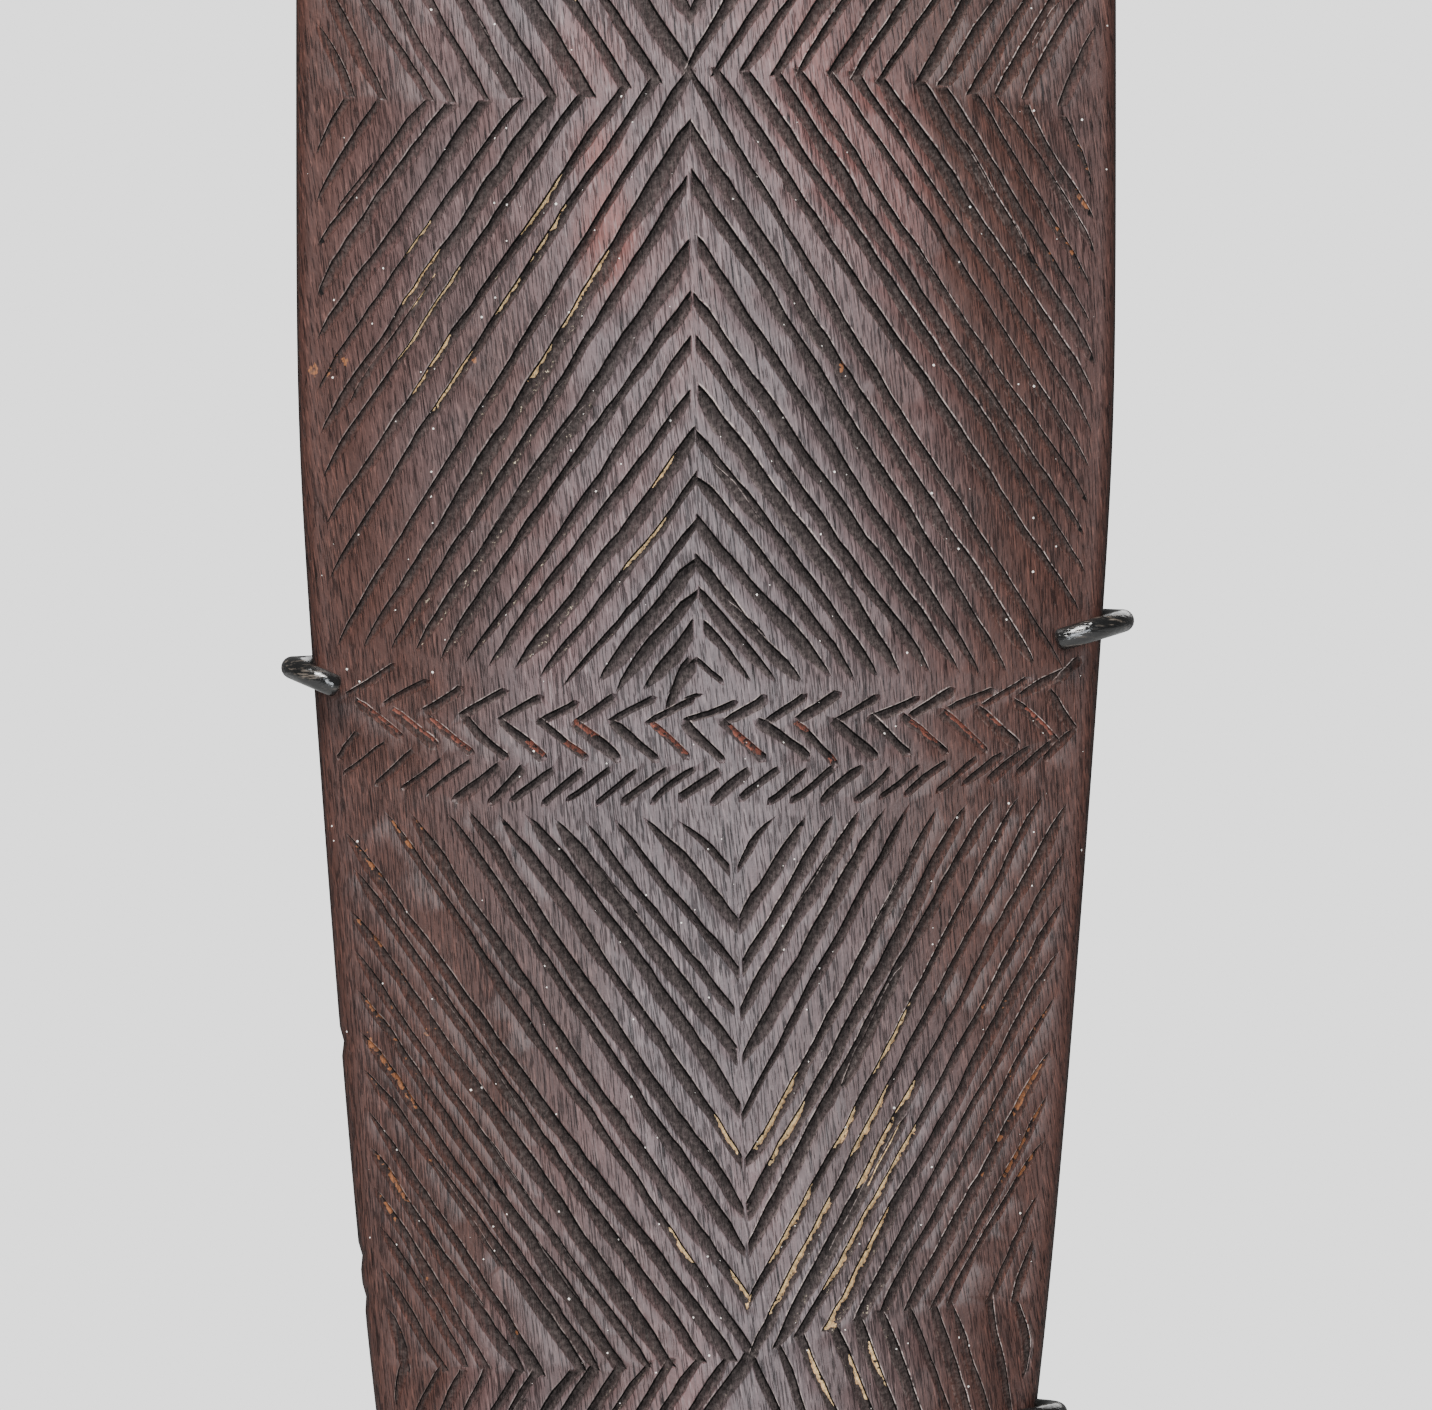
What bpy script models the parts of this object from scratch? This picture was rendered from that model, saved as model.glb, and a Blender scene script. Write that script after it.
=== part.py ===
"""A long carved hardwood shield held upright by a two-armed metal stand.

Metres, +Z up. The face looks along -Y, the stand's base rests on z = 0, and the shield's own
origin is at its middle, where across is +X and along is +Z.
"""

import math
import random

import bmesh
import bpy
import numpy as np
from mathutils import Vector
from mathutils.geometry import delaunay_2d_cdt

for item in list(bpy.data.objects):
    bpy.data.objects.remove(item, do_unlink=True)

# Sides, as signs of X
LEFT = -1
RIGHT = 1

# Shield blank
SHIELD_LENGTH = 0.880
SHIELD_WIDTH = 0.1646
RIM_THICKNESS = 0.008
RIM_INSET = 0.003
CREST_RISE = 0.013
BACK_RISE = 0.003
HALF_LENGTH = SHIELD_LENGTH / 2
HALF_WIDTH = SHIELD_WIDTH / 2

# Outline: parallel about the middle, then a straight taper and a round nose, in shares of its half
TAPER_START = 0.163
TAPER_RATE = 0.38
TAPER_EASE = 0.03
NOSE_POWER = 6
NOSE_ROUNDNESS = 0.6
SWELL_POWER = 0.6
OUTLINE_STEPS = 44
RIM_STEPS = 4
BACK_ROWS = 18
BACK_SPREAD = (-0.6, -0.2, 0.2, 0.6)

# Grip, carved from the same block as the back
GRIP_LENGTH = 0.110
GRIP_RAMP = 0.040
GRIP_WIDTH = 0.024
GRIP_THICKNESS = 0.018
GRIP_FOOT_WIDTH = 0.050
FINGER_GAP = 0.026
GRIP_SIDES = 12
GRIP_STEPS = 18

# Cut grooves
GROOVE_WIDTH = {LEFT: 0.0029, RIGHT: 0.0026}
GROOVE_DEPTH = 0.0014
APEX_TAPER = 0.0025
TAIL_TAPER = 0.014
FLOOR_LEAN = 0.45
GROOVE_STATION = 0.044
EDGE_MARGIN = 0.0038
EDGE_FADE = 0.55
FADE_START = 0.42
FADE_END = 0.82
APEX_GAP = 0.0006
TOP_STROKE_WIDTH = 0.0021
MIDDLE_STROKE_WIDTH = 0.0028
LOW_STROKE_WIDTH = 0.0020
STROKE_DEPTH = 0.0012
STROKE_TAPER = 0.0025
HAND_WANDER = 0.0005
KNOT_WANDER = 0.0007
ROW_REACH = 0.060
ARCH_POWER = 4
CARVING_SEED = 11

# Stand
BASE_WIDTH = 0.200
BASE_DEPTH = 0.150
BASE_THICKNESS = 0.008
BASE_CORNER = 0.012
BASE_EDGE = 0.001
TIP_CLEARANCE = 0.022
POST_RADIUS = 0.005
POST_HEAD = 0.009
COLLAR_RADIUS = 0.012
COLLAR_HEIGHT = 0.006
COLLAR_EDGE = 0.0015
POST_SIDES = 24
ROD_RADIUS = 0.0023
ARM_CLEARANCE = 0.0187
ARM_SPACING = 0.160
ARM_TILT = 0.0094
HOOK_SLACK = 0.0018
HOOK_DROP = 0.0040
UPPER_HOOK_REACH = {LEFT: 0.0050, RIGHT: 0.0094}
LOWER_HOOK_REACH = {LEFT: 0.0054, RIGHT: 0.0056}
HOOK_STEPS = 8
TOUCH_GAP = 0.0003

SHIELD_MIDDLE = BASE_THICKNESS + TIP_CLEARANCE + HALF_LENGTH
UPPER_ARM_Z = SHIELD_MIDDLE - GRIP_LENGTH / 2 - GRIP_RAMP - ARM_CLEARANCE
LOWER_ARM_Z = UPPER_ARM_Z - ARM_SPACING
ARM_BACK_Y = RIM_THICKNESS / 2 + BACK_RISE + TOUCH_GAP + ROD_RADIUS
POST_Y = ARM_BACK_Y + ROD_RADIUS + TOUCH_GAP + POST_RADIUS


def make_material(name, color, roughness, metallic=0.0):
    """A plain Principled material."""
    material = bpy.data.materials.new(name)
    material.use_nodes = True
    shader = material.node_tree.nodes["Principled BSDF"]
    shader.inputs["Base Color"].default_value = (*color, 1.0)
    shader.inputs["Roughness"].default_value = roughness
    shader.inputs["Metallic"].default_value = metallic
    return material


def add_object(name, data, material, location=(0.0, 0.0, 0.0)):
    """Link a mesh or curve as a named object with one material."""
    data.materials.append(material)
    piece = bpy.data.objects.new(name, data)
    piece.location = location
    bpy.context.scene.collection.objects.link(piece)
    return piece


def half_width(along):
    """The outline's half width at a height above the shield's middle."""
    share = min(1.0, abs(along) / HALF_LENGTH)
    ramp = TAPER_EASE * math.log1p(math.exp((share - TAPER_START) / TAPER_EASE))
    nose = (1 - share**NOSE_POWER) ** NOSE_ROUNDNESS
    return HALF_WIDTH * (1 - TAPER_RATE * ramp) * nose


def swell(along):
    """How much of the full crown stands at this height, less towards the two noses."""
    return (half_width(along) / HALF_WIDTH) ** SWELL_POWER


def crown(across, along):
    """Share of the crown at a point of the face: 0 on the rim, 1 on the crest."""
    reach = max(half_width(along) - RIM_INSET, RIM_INSET)
    return swell(along) * (1 - min(1.0, abs(across) / reach) ** 2)


def face_y(across, along):
    """The uncut face, towards -Y."""
    return -RIM_THICKNESS / 2 - CREST_RISE * crown(across, along)


def back_y(across, along):
    """The back, towards +Y."""
    return RIM_THICKNESS / 2 + BACK_RISE * crown(across, along)


def smooth(share):
    """Ease from 0 to 1."""
    share = min(1.0, max(0.0, share))
    return share * share * (3 - 2 * share)


# The carving is laid out in shares of the half width across and the half length along.


def spot(across, along):
    """A layout point on the shield."""
    return Vector((across * HALF_WIDTH, along * HALF_LENGTH))


def rail(start, end, count, drift=0.0, sag=0.0, wander=0.0):
    """Points from start to end. A drift above 0 makes the first steps longer and a sag bends the row.
    Wander is the hand's own spacing, the same for every fan that shares the row."""
    hand = random.Random(CARVING_SEED + count)
    way = (end - start).normalized()
    points = []
    for k in range(count + 1):
        t = k / count
        slip = hand.gauss(0, wander) if 0 < k < count else 0.0
        bent = start.lerp(end, t + drift * t * (1 - t)) + spot(0, sag * 4 * t * (1 - t))
        points.append(bent + way * slip)
    return points


def edge_rail(side, start, end, count):
    """Points that follow the outline just inside the rim, between two shares of the half length."""
    points = []
    for k in range(count):
        along = HALF_LENGTH * (start + (end - start) * k / (count - 1))
        points.append(Vector((side * (half_width(along) - EDGE_MARGIN), along)))
    return points


# One fan is a ruled family of grooves. They start on the chevron tips beside a crossing and then on
# the tips stacked along the axis. They end on the shield's edge and then on a band's border.
# Columns: side, outer tip, row's sag, tips beside the crossing, crossing, tips on the axis,
# last axis tip, edge span, border's outer end, border's inner end, drift.
FANS = (
    (LEFT, (-0.957, -0.009), -0.010, 11, (-0.039, 0.0), 13, (-0.017, -0.268),
     (-0.017, -0.230), (-0.897, -0.262), (-0.104, -0.284), 0.28),
    (RIGHT, (0.921, -0.022), 0.007, 14, (-0.039, 0.0), 13, (-0.017, -0.268),
     (-0.035, -0.245), (0.860, -0.271), (0.053, -0.280), 0.28),
    (LEFT, (-0.780, -0.588), -0.004, 14, (0.107, -0.582), 10, (0.072, -0.364),
     (-0.578, -0.344), (-0.785, -0.334), (-0.083, -0.340), 0.0),
    (RIGHT, (0.817, -0.559), 0.008, 11, (0.107, -0.582), 10, (0.072, -0.364),
     (-0.552, -0.330), (0.831, -0.327), (0.175, -0.337), 0.0),
    (LEFT, (-0.780, -0.588), -0.004, 14, (0.107, -0.582), 10, (0.066, -0.830),
     (-0.596, -0.780), None, None, 0.0),
    (RIGHT, (0.817, -0.559), 0.008, 11, (0.107, -0.582), 10, (0.066, -0.830),
     (-0.575, -0.780), None, None, 0.0),
)
LAST_EDGE_END = -0.885

# A band's rows of strokes.
# Columns: width, first stroke, last stroke, count, arch, stroke's run and rise.
BAND_ROWS = (
    (TOP_STROKE_WIDTH, (-0.865, -0.2805), (0.860, -0.277), 20, -0.016, (0.106, 0.0103)),
    (MIDDLE_STROKE_WIDTH, (-0.850, -0.285), (0.838, -0.281), 20, -0.0125, (0.102, -0.0173)),
    (LOW_STROKE_WIDTH, (-0.850, -0.300), (0.925, -0.298), 27, -0.018, (-0.096, -0.0146)),
)


def inside(point):
    """The point, brought in from the rim where it lies on it."""
    reach = half_width(point.y) - EDGE_MARGIN
    return Vector((max(-reach, min(reach, point.x)), point.y))


def groove(start, end, width, depth, tapers, hand):
    """One hand cut groove, with its ends a little off the layout and a slight bow."""
    wander = [Vector((hand.gauss(0, HAND_WANDER), hand.gauss(0, HAND_WANDER))) for _ in range(2)]
    return {
        "start": inside(start + wander[0] * 0.5),
        "end": inside(end + wander[1]),
        "half": width / 2 * hand.uniform(0.85, 1.15),
        "depth": depth * hand.uniform(0.85, 1.1),
        "tapers": tapers,
        "bow": hand.gauss(0, HAND_WANDER),
    }


def row_height(across):
    """Height of the middle row, where the two halves of the carving meet."""
    _, tip, sag, _, crossing, *_ = FANS[0] if across < FANS[0][4][0] * HALF_WIDTH else FANS[1]
    outer = spot(*tip)
    inner = spot(*crossing)
    t = min(1.0, max(0.0, (across - outer.x) / (inner.x - outer.x)))
    return outer.lerp(inner, t).y + spot(0, sag * 4 * t * (1 - t)).y


def turned(point, flip):
    """The point, turned over the middle row to the upper half when flip is -1."""
    if flip > 0:
        return Vector(point)
    near = max(0.0, 1 - abs(point.y) / ROW_REACH)
    return Vector((point.x, 2 * row_height(point.x) * near - point.y))


def fan_grooves(fan, flip, hand):
    """Every groove of one fan, turned over to the other half of the shield when flip is -1."""
    side, tip, sag, tips, crossing, stacked, last, edge, outer, inner, drift = fan
    starts = rail(spot(*tip), spot(*crossing), tips, 0.0, sag, KNOT_WANDER)[:-1]
    starts += rail(spot(*crossing), spot(*last), stacked, drift, 0.0, KNOT_WANDER)
    ends = edge_rail(side, edge[0], edge[1], tips)
    if outer is None:
        ends += edge_rail(side, edge[1], LAST_EDGE_END, stacked + 2)[1:]
    else:
        ends += rail(spot(*outer), spot(*inner), stacked)
    tapers = (APEX_TAPER, TAIL_TAPER)
    grooves = []
    for start, end in zip(starts, ends):
        way = end - start
        if way.length < APEX_TAPER + TAIL_TAPER / 2:
            continue
        start = turned(start + way.normalized() * APEX_GAP, flip)
        grooves.append(groove(start, turned(end, flip), GROOVE_WIDTH[side], GROOVE_DEPTH, tapers, hand))
    return grooves


def band_grooves(flip, hand):
    """The three rows of short strokes that make a band's zigzag."""
    tapers = (STROKE_TAPER, STROKE_TAPER)
    grooves = []
    for width, first, last, count, arch, run in BAND_ROWS:
        for k in range(count):
            share = k / (count - 1)
            start = spot(*first).lerp(spot(*last), share)
            start += spot(0, arch * (1 - abs(2 * share - 1) ** ARCH_POWER))
            end = turned(start + spot(*run), flip)
            grooves.append(groove(turned(start, flip), end, width, STROKE_DEPTH, tapers, hand))
    return grooves


def all_grooves():
    """The whole carving, the lower half first."""
    hand = random.Random(CARVING_SEED)
    grooves = []
    for flip in (1, -1):
        for fan in FANS:
            grooves += fan_grooves(fan, flip, hand)
        grooves += band_grooves(flip, hand)
    return grooves


def centre_point(cut, share, sideways=0.0):
    """A point along a groove, moved sideways from its bowed centre line."""
    way = cut["end"] - cut["start"]
    normal = Vector((-way.y, way.x)).normalized()
    bow = cut["bow"] * 4 * share * (1 - share)
    return cut["start"] + way * share + normal * (bow + sideways)


def groove_size(cut, share):
    """A groove's half width and depth at a share of its length."""
    length = (cut["end"] - cut["start"]).length
    apex, tail = cut["tapers"]
    ends = min(1.0, share * length / apex, (1 - share) * length / tail)
    middle = cut["start"].lerp(cut["end"], share)
    outward = abs(middle.x) / max(half_width(middle.y), RIM_INSET)
    fade = ends * (1 - EDGE_FADE * smooth((outward - FADE_START) / (FADE_END - FADE_START)))
    return cut["half"] * fade, cut["depth"] * fade


def groove_stations(cut):
    """Shares of the length at which a groove's rims and floor get points."""
    length = (cut["end"] - cut["start"]).length
    apex, tail = cut["tapers"]
    straight = length - apex - tail
    if straight <= 0:
        return [apex / (apex + tail)]
    gaps = math.ceil(straight / GROOVE_STATION)
    return [(apex + straight * k / gaps) / length for k in range(gaps + 1)]


def floor_side(cut):
    """The floor line's lateral place in half widths. Every cut's steep wall is its upper one."""
    return math.copysign(FLOOR_LEAN, cut["end"].x - cut["start"].x)


def cut_depth(points, grooves):
    """How deep the carving is at each point, an array of rows across, along."""
    depth = np.zeros(len(points))
    for cut in grooves:
        way = cut["end"] - cut["start"]
        run = np.array(way) / way.length_squared
        normal = np.array((-way.y, way.x)) / way.length
        offset = points - np.array(cut["start"])
        share = offset @ run
        floor = floor_side(cut)
        for k in np.flatnonzero((share > 0) & (share < 1) & (abs(offset @ normal) < 3 * cut["half"])):
            half, deep = groove_size(cut, share[k])
            side = (offset[k] @ normal - cut["bow"] * 4 * share[k] * (1 - share[k])) / half
            wall = 1 - floor if side > floor else 1 + floor
            depth[k] = max(depth[k], deep * (1 - abs(side - floor) / wall))
    return depth


def outline_loop(inset):
    """The outline, counter-clockwise seen from the front, moved inwards by the inset."""
    angles = [math.pi * (k / OUTLINE_STEPS - 0.5) for k in range(OUTLINE_STEPS)]
    right = [Vector((half_width(HALF_LENGTH * math.sin(a)), HALF_LENGTH * math.sin(a))) for a in angles]
    points = right + [Vector((-point.x, -point.y)) for point in right]
    inner = []
    for k, point in enumerate(points):
        way = points[(k + 1) % len(points)] - points[k - 1]
        inner.append(point + Vector((-way.y, way.x)).normalized() * inset)
    return inner


def face_triangles(border, grooves):
    """Points and triangles of the face, with edges along each groove's rims and floor."""
    points = [Vector(point) for point in border]
    edges = [(k, (k + 1) % len(border)) for k in range(len(border))]
    for cut in grooves:
        shares = groove_stations(cut)
        tips = (len(points), len(points) + 1)
        points += [centre_point(cut, 0.0), centre_point(cut, 1.0)]
        for lane in (-1, floor_side(cut), 1):
            lane_points = [centre_point(cut, t, lane * groove_size(cut, t)[0]) for t in shares]
            run = [tips[0], *range(len(points), len(points) + len(shares)), tips[1]]
            points += lane_points
            edges += list(zip(run, run[1:]))
    corners, _, faces, *_ = delaunay_2d_cdt(points, edges, [], 1, 1e-6)
    return corners, faces


def back_triangles(border):
    """Points and triangles of the plain back."""
    points = [Vector(point) for point in border]
    edges = [(k, (k + 1) % len(border)) for k in range(len(border))]
    for k in range(1, BACK_ROWS):
        along = HALF_LENGTH * (2 * k / BACK_ROWS - 1)
        points += [Vector((half_width(along) * share, along)) for share in BACK_SPREAD]
    corners, _, faces, *_ = delaunay_2d_cdt(points, edges, [], 1, 1e-6)
    return corners, faces


def make_shield(material, grip):
    """The shield's one solid: carved face, round rim, plain back and its grip."""
    loops = []
    for k in range(RIM_STEPS + 1):
        turn = math.pi * k / RIM_STEPS
        loops.append((outline_loop(RIM_INSET * (1 - math.sin(turn))), -RIM_THICKNESS / 2 * math.cos(turn)))
    grooves = all_grooves()
    mesh = bmesh.new()
    front_points, front_faces = face_triangles(loops[0][0], grooves)
    depth = cut_depth(np.array(front_points), grooves)
    front = []
    for point, deep in zip(front_points, depth):
        front.append(mesh.verts.new((point.x, face_y(point.x, point.y) + deep, point.y)))
    for face in front_faces:
        mesh.faces.new([front[k] for k in face])
    back_points, back_faces = back_triangles(loops[-1][0])
    back = [mesh.verts.new((point.x, back_y(point.x, point.y), point.y)) for point in back_points]
    for face in back_faces:
        mesh.faces.new([back[k] for k in reversed(face)])
    count = 2 * OUTLINE_STEPS
    rings = [front[:count]]
    for loop, y in loops[1:-1]:
        rings.append([mesh.verts.new((point.x, y, point.y)) for point in loop])
    rings.append(back[:count])
    for near, far in zip(rings, rings[1:]):
        for k in range(count):
            after = (k + 1) % count
            mesh.faces.new((near[after], near[k], far[k], far[after]))
    data = bpy.data.meshes.new("shield")
    mesh.to_mesh(data)
    mesh.free()
    piece = add_object("shield", data, material, (0.0, 0.0, SHIELD_MIDDLE))
    union = piece.modifiers.new("grip", "BOOLEAN")
    union.operation = "UNION"
    union.solver = "EXACT"
    union.object = grip
    return piece


def make_grip(material):
    """The bar of the grip with its two spreading feet, sunk into the back."""
    half = GRIP_LENGTH / 2 + GRIP_RAMP
    low = RIM_THICKNESS / 2
    high = low + BACK_RISE + FINGER_GAP + GRIP_THICKNESS / 2
    stations = []
    for k in range(GRIP_STEPS + 1):
        along = half * math.sin(math.pi * (k / GRIP_STEPS - 0.5))
        lift = smooth((half - abs(along)) / GRIP_RAMP)
        width = GRIP_FOOT_WIDTH + (GRIP_WIDTH - GRIP_FOOT_WIDTH) * lift
        stations.append((Vector((0.0, low + (high - low) * lift, along)), width))
    mesh = bmesh.new()
    rings = []
    for k, (centre, width) in enumerate(stations):
        ahead = stations[min(k + 1, GRIP_STEPS)][0]
        behind = stations[max(k - 1, 0)][0]
        way = (ahead - behind).normalized()
        outward = way.cross(Vector((1.0, 0.0, 0.0)))
        ring = []
        for side in range(GRIP_SIDES):
            turn = 2 * math.pi * side / GRIP_SIDES
            across = Vector((math.cos(turn) * width / 2, 0.0, 0.0))
            ring.append(mesh.verts.new(centre + across + outward * math.sin(turn) * GRIP_THICKNESS / 2))
        rings.append(ring)
    for near, far in zip(rings, rings[1:]):
        for side in range(GRIP_SIDES):
            after = (side + 1) % GRIP_SIDES
            mesh.faces.new((near[side], near[after], far[after], far[side]))
    mesh.faces.new(reversed(rings[0]))
    mesh.faces.new(rings[-1])
    bmesh.ops.recalc_face_normals(mesh, faces=mesh.faces)
    data = bpy.data.meshes.new("grip_block")
    mesh.to_mesh(data)
    mesh.free()
    data.shade_smooth()
    piece = add_object("grip_block", data, material, (0.0, 0.0, SHIELD_MIDDLE))
    piece.hide_render = True
    piece.display_type = "WIRE"
    return piece


def make_base(material):
    """A flat plate with round corners and a broken top edge."""
    mesh = bmesh.new()
    bmesh.ops.create_cube(mesh, size=1.0)
    bmesh.ops.scale(mesh, vec=(BASE_WIDTH, BASE_DEPTH, BASE_THICKNESS), verts=mesh.verts)
    bmesh.ops.translate(mesh, vec=(0.0, 0.0, BASE_THICKNESS / 2), verts=mesh.verts)
    rises = [abs(edge.verts[0].co.z - edge.verts[1].co.z) for edge in mesh.edges]
    upright = [edge for edge, rise in zip(mesh.edges, rises) if rise > BASE_THICKNESS / 2]
    bmesh.ops.bevel(mesh, geom=upright, offset=BASE_CORNER, segments=6, profile=0.5, affect="EDGES")
    top = [edge for edge in mesh.edges if min(vert.co.z for vert in edge.verts) > BASE_THICKNESS / 2]
    bmesh.ops.bevel(mesh, geom=top, offset=BASE_EDGE, segments=2, profile=0.5, affect="EDGES")
    data = bpy.data.meshes.new("stand_base")
    mesh.to_mesh(data)
    mesh.free()
    return add_object("stand_base", data, material)


def make_post(material):
    """The turned upright: a collar on the base and a plain rod up to just above the upper arm."""
    foot = BASE_THICKNESS + TOUCH_GAP
    top = UPPER_ARM_Z + POST_HEAD
    profile = (
        (0.0, foot),
        (COLLAR_RADIUS, foot),
        (COLLAR_RADIUS, foot + COLLAR_HEIGHT - COLLAR_EDGE),
        (COLLAR_RADIUS - COLLAR_EDGE, foot + COLLAR_HEIGHT),
        (POST_RADIUS, foot + COLLAR_HEIGHT),
        (POST_RADIUS, top - COLLAR_EDGE),
        (POST_RADIUS - COLLAR_EDGE, top),
        (0.0, top),
    )
    mesh = bmesh.new()
    verts = [mesh.verts.new((radius, 0.0, z)) for radius, z in profile]
    edges = [mesh.edges.new(pair) for pair in zip(verts, verts[1:])]
    bmesh.ops.spin(mesh, geom=verts + edges, axis=(0, 0, 1), cent=(0, 0, 0), steps=POST_SIDES,
                   angle=2 * math.pi, use_merge=True)
    bmesh.ops.remove_doubles(mesh, verts=mesh.verts, dist=1e-5)
    bmesh.ops.recalc_face_normals(mesh, faces=mesh.faces)
    data = bpy.data.meshes.new("stand_post")
    mesh.to_mesh(data)
    mesh.free()
    data.shade_smooth()
    data.set_sharp_from_angle(angle=math.radians(35))
    return add_object("stand_post", data, material, (0.0, POST_Y, 0.0))


def hook_points(side, reach, arm_z):
    """One hook's centre line, from its tip on the face round the rim to the straight back run."""
    level = arm_z + side * ARM_TILT / 2
    half = half_width(level - SHIELD_MIDDLE)
    turn_x = half - RIM_THICKNESS / 2
    turn_r = RIM_THICKNESS / 2 + HOOK_SLACK + ROD_RADIUS
    tip_x = half - reach
    slope = 2 * CREST_RISE * swell(level - SHIELD_MIDDLE) * tip_x / (half - RIM_INSET) ** 2
    stand_off = (ROD_RADIUS + TOUCH_GAP) * math.hypot(1, slope)
    tip_y = face_y(tip_x, level - SHIELD_MIDDLE) - stand_off
    low_y = min(tip_y, -turn_r)
    centre_y = (ARM_BACK_Y + low_y) / 2
    turn_y = (ARM_BACK_Y - low_y) / 2
    points = [Vector((side * tip_x, tip_y, level - HOOK_DROP))]
    for k in range(HOOK_STEPS + 1):
        turn = math.pi * (k / HOOK_STEPS - 0.5)
        x = turn_x + turn_r * math.cos(turn)
        z = level + HOOK_DROP / 2 * math.sin(turn)
        points.append(Vector((side * x, centre_y + turn_y * math.sin(turn), z)))
    return points


def make_arm(name, arm_z, reach, material):
    """One bent rod: a hook at each end and a straight run across the back."""
    left, right = [hook_points(side, reach[side], arm_z) for side in (LEFT, RIGHT)]
    path = left + right[::-1]
    curve = bpy.data.curves.new(name, "CURVE")
    curve.dimensions = "3D"
    curve.bevel_depth = ROD_RADIUS
    curve.bevel_resolution = 2
    curve.use_fill_caps = True
    spline = curve.splines.new("POLY")
    spline.points.add(len(path) - 1)
    for point, place in zip(spline.points, path):
        point.co = (*place, 1.0)
    return add_object(name, curve, material)


def main():
    wood = make_material("carved_wood", (0.130, 0.085, 0.080), 0.55)
    rod = make_material("black_rod", (0.012, 0.012, 0.013), 0.25)
    plate = make_material("black_plate", (0.020, 0.020, 0.022), 0.45)
    make_shield(wood, make_grip(wood))
    make_base(plate)
    make_post(rod)
    make_arm("upper_arm", UPPER_ARM_Z, UPPER_HOOK_REACH, rod)
    make_arm("lower_arm", LOWER_ARM_Z, LOWER_HOOK_REACH, rod)


main()
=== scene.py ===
"""A carved hardwood parrying shield on its two-armed display stand, laid out as an add-on.

Metres, +Z up, the carved face along -Y. The frame gives the stand's places, and the shield's own
coordinates are across (+X) and along (+Z) from its middle.
"""

import math
import random

import bmesh
import bpy
import numpy as np
from bpy.props import FloatProperty, FloatVectorProperty, PointerProperty
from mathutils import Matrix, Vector, noise
from mathutils.geometry import delaunay_2d_cdt
from mathutils.kdtree import KDTree


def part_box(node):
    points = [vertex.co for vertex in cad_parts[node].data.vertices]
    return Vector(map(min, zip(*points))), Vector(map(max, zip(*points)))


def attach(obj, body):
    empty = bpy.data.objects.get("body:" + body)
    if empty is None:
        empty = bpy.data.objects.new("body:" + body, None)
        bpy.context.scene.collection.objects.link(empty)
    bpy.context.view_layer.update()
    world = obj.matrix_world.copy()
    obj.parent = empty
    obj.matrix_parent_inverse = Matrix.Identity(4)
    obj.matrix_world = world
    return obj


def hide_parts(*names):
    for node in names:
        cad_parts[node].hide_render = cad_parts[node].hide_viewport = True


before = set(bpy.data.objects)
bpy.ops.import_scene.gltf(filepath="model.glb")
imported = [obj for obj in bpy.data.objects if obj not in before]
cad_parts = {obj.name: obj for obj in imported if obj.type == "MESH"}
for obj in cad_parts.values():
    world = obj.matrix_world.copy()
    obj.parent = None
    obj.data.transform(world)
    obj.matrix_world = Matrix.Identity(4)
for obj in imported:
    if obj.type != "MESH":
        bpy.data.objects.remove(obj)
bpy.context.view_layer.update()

BODY = "root"

bl_info = {
    "name": "Carved parrying shield",
    "version": (1, 0, 0),
    "blender": (4, 5, 0),
    "location": "3D View > Sidebar > Shield",
    "description": "Models a carved hardwood parrying shield on its display stand",
    "category": "Object",
}

# Sides, as signs of X
LEFT = -1
RIGHT = 1

# Shield's size and place, from the frame
SHIELD_LOW, SHIELD_HIGH = [Vector(corner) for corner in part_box("shield")]
HALF_LENGTH = (SHIELD_HIGH.z - SHIELD_LOW.z) / 2
HALF_WIDTH = (SHIELD_HIGH.x - SHIELD_LOW.x) / 2
SHIELD_MIDDLE = (SHIELD_HIGH.z + SHIELD_LOW.z) / 2

# Shield blank
RIM_THICKNESS = 0.008
RIM_INSET = 0.003
CREST_RISE = 0.013
BACK_RISE = 0.003
TAPER_START = 0.163
TAPER_RATE = 0.38
TAPER_EASE = 0.03
NOSE_POWER = 6
NOSE_ROUNDNESS = 0.6
SWELL_POWER = 0.6

# Grip
GRIP_LENGTH = 0.110
GRIP_RAMP = 0.040
GRIP_WIDTH = 0.024
GRIP_THICKNESS = 0.018
GRIP_FOOT_WIDTH = 0.050
FINGER_GAP = 0.026
GRIP_SIDES = 40
GRIP_STEPS = 90

# Carving: sizes in metres, places in shares of the half width and the half length
GROOVE_WIDTH = {LEFT: 0.0029, RIGHT: 0.0026}
GROOVE_DEPTH = 0.0014
APEX_TAPER = 0.0025
TAIL_TAPER = 0.008
APEX_GAP = 0.0006
SHORTEST_ARM = 0.0095
EDGE_MARGIN = 0.0038
LAST_EDGE_END = -0.885

# Fans whose last apex lies below this height are cut narrower
LOWER_FANS = -0.30
LOWER_FAN_WIDTH = 0.88

# From the first of these shares of the half width to the second, cuts get shallower and narrower
FADE_START = 0.42
FADE_END = 0.82
EDGE_FADE = 0.55
WIDTH_FADE = 0.18

# Short strokes
TOP_STROKE_WIDTH = 0.0021
MIDDLE_STROKE_WIDTH = 0.0022
LOW_STROKE_WIDTH = 0.0020
STROKE_DEPTH = 0.0012
STROKE_TAPER = 0.0011
STROKE_STRETCH = 0.10
STROKE_BOW = 0.4
ARCH_POWER = 4

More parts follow.
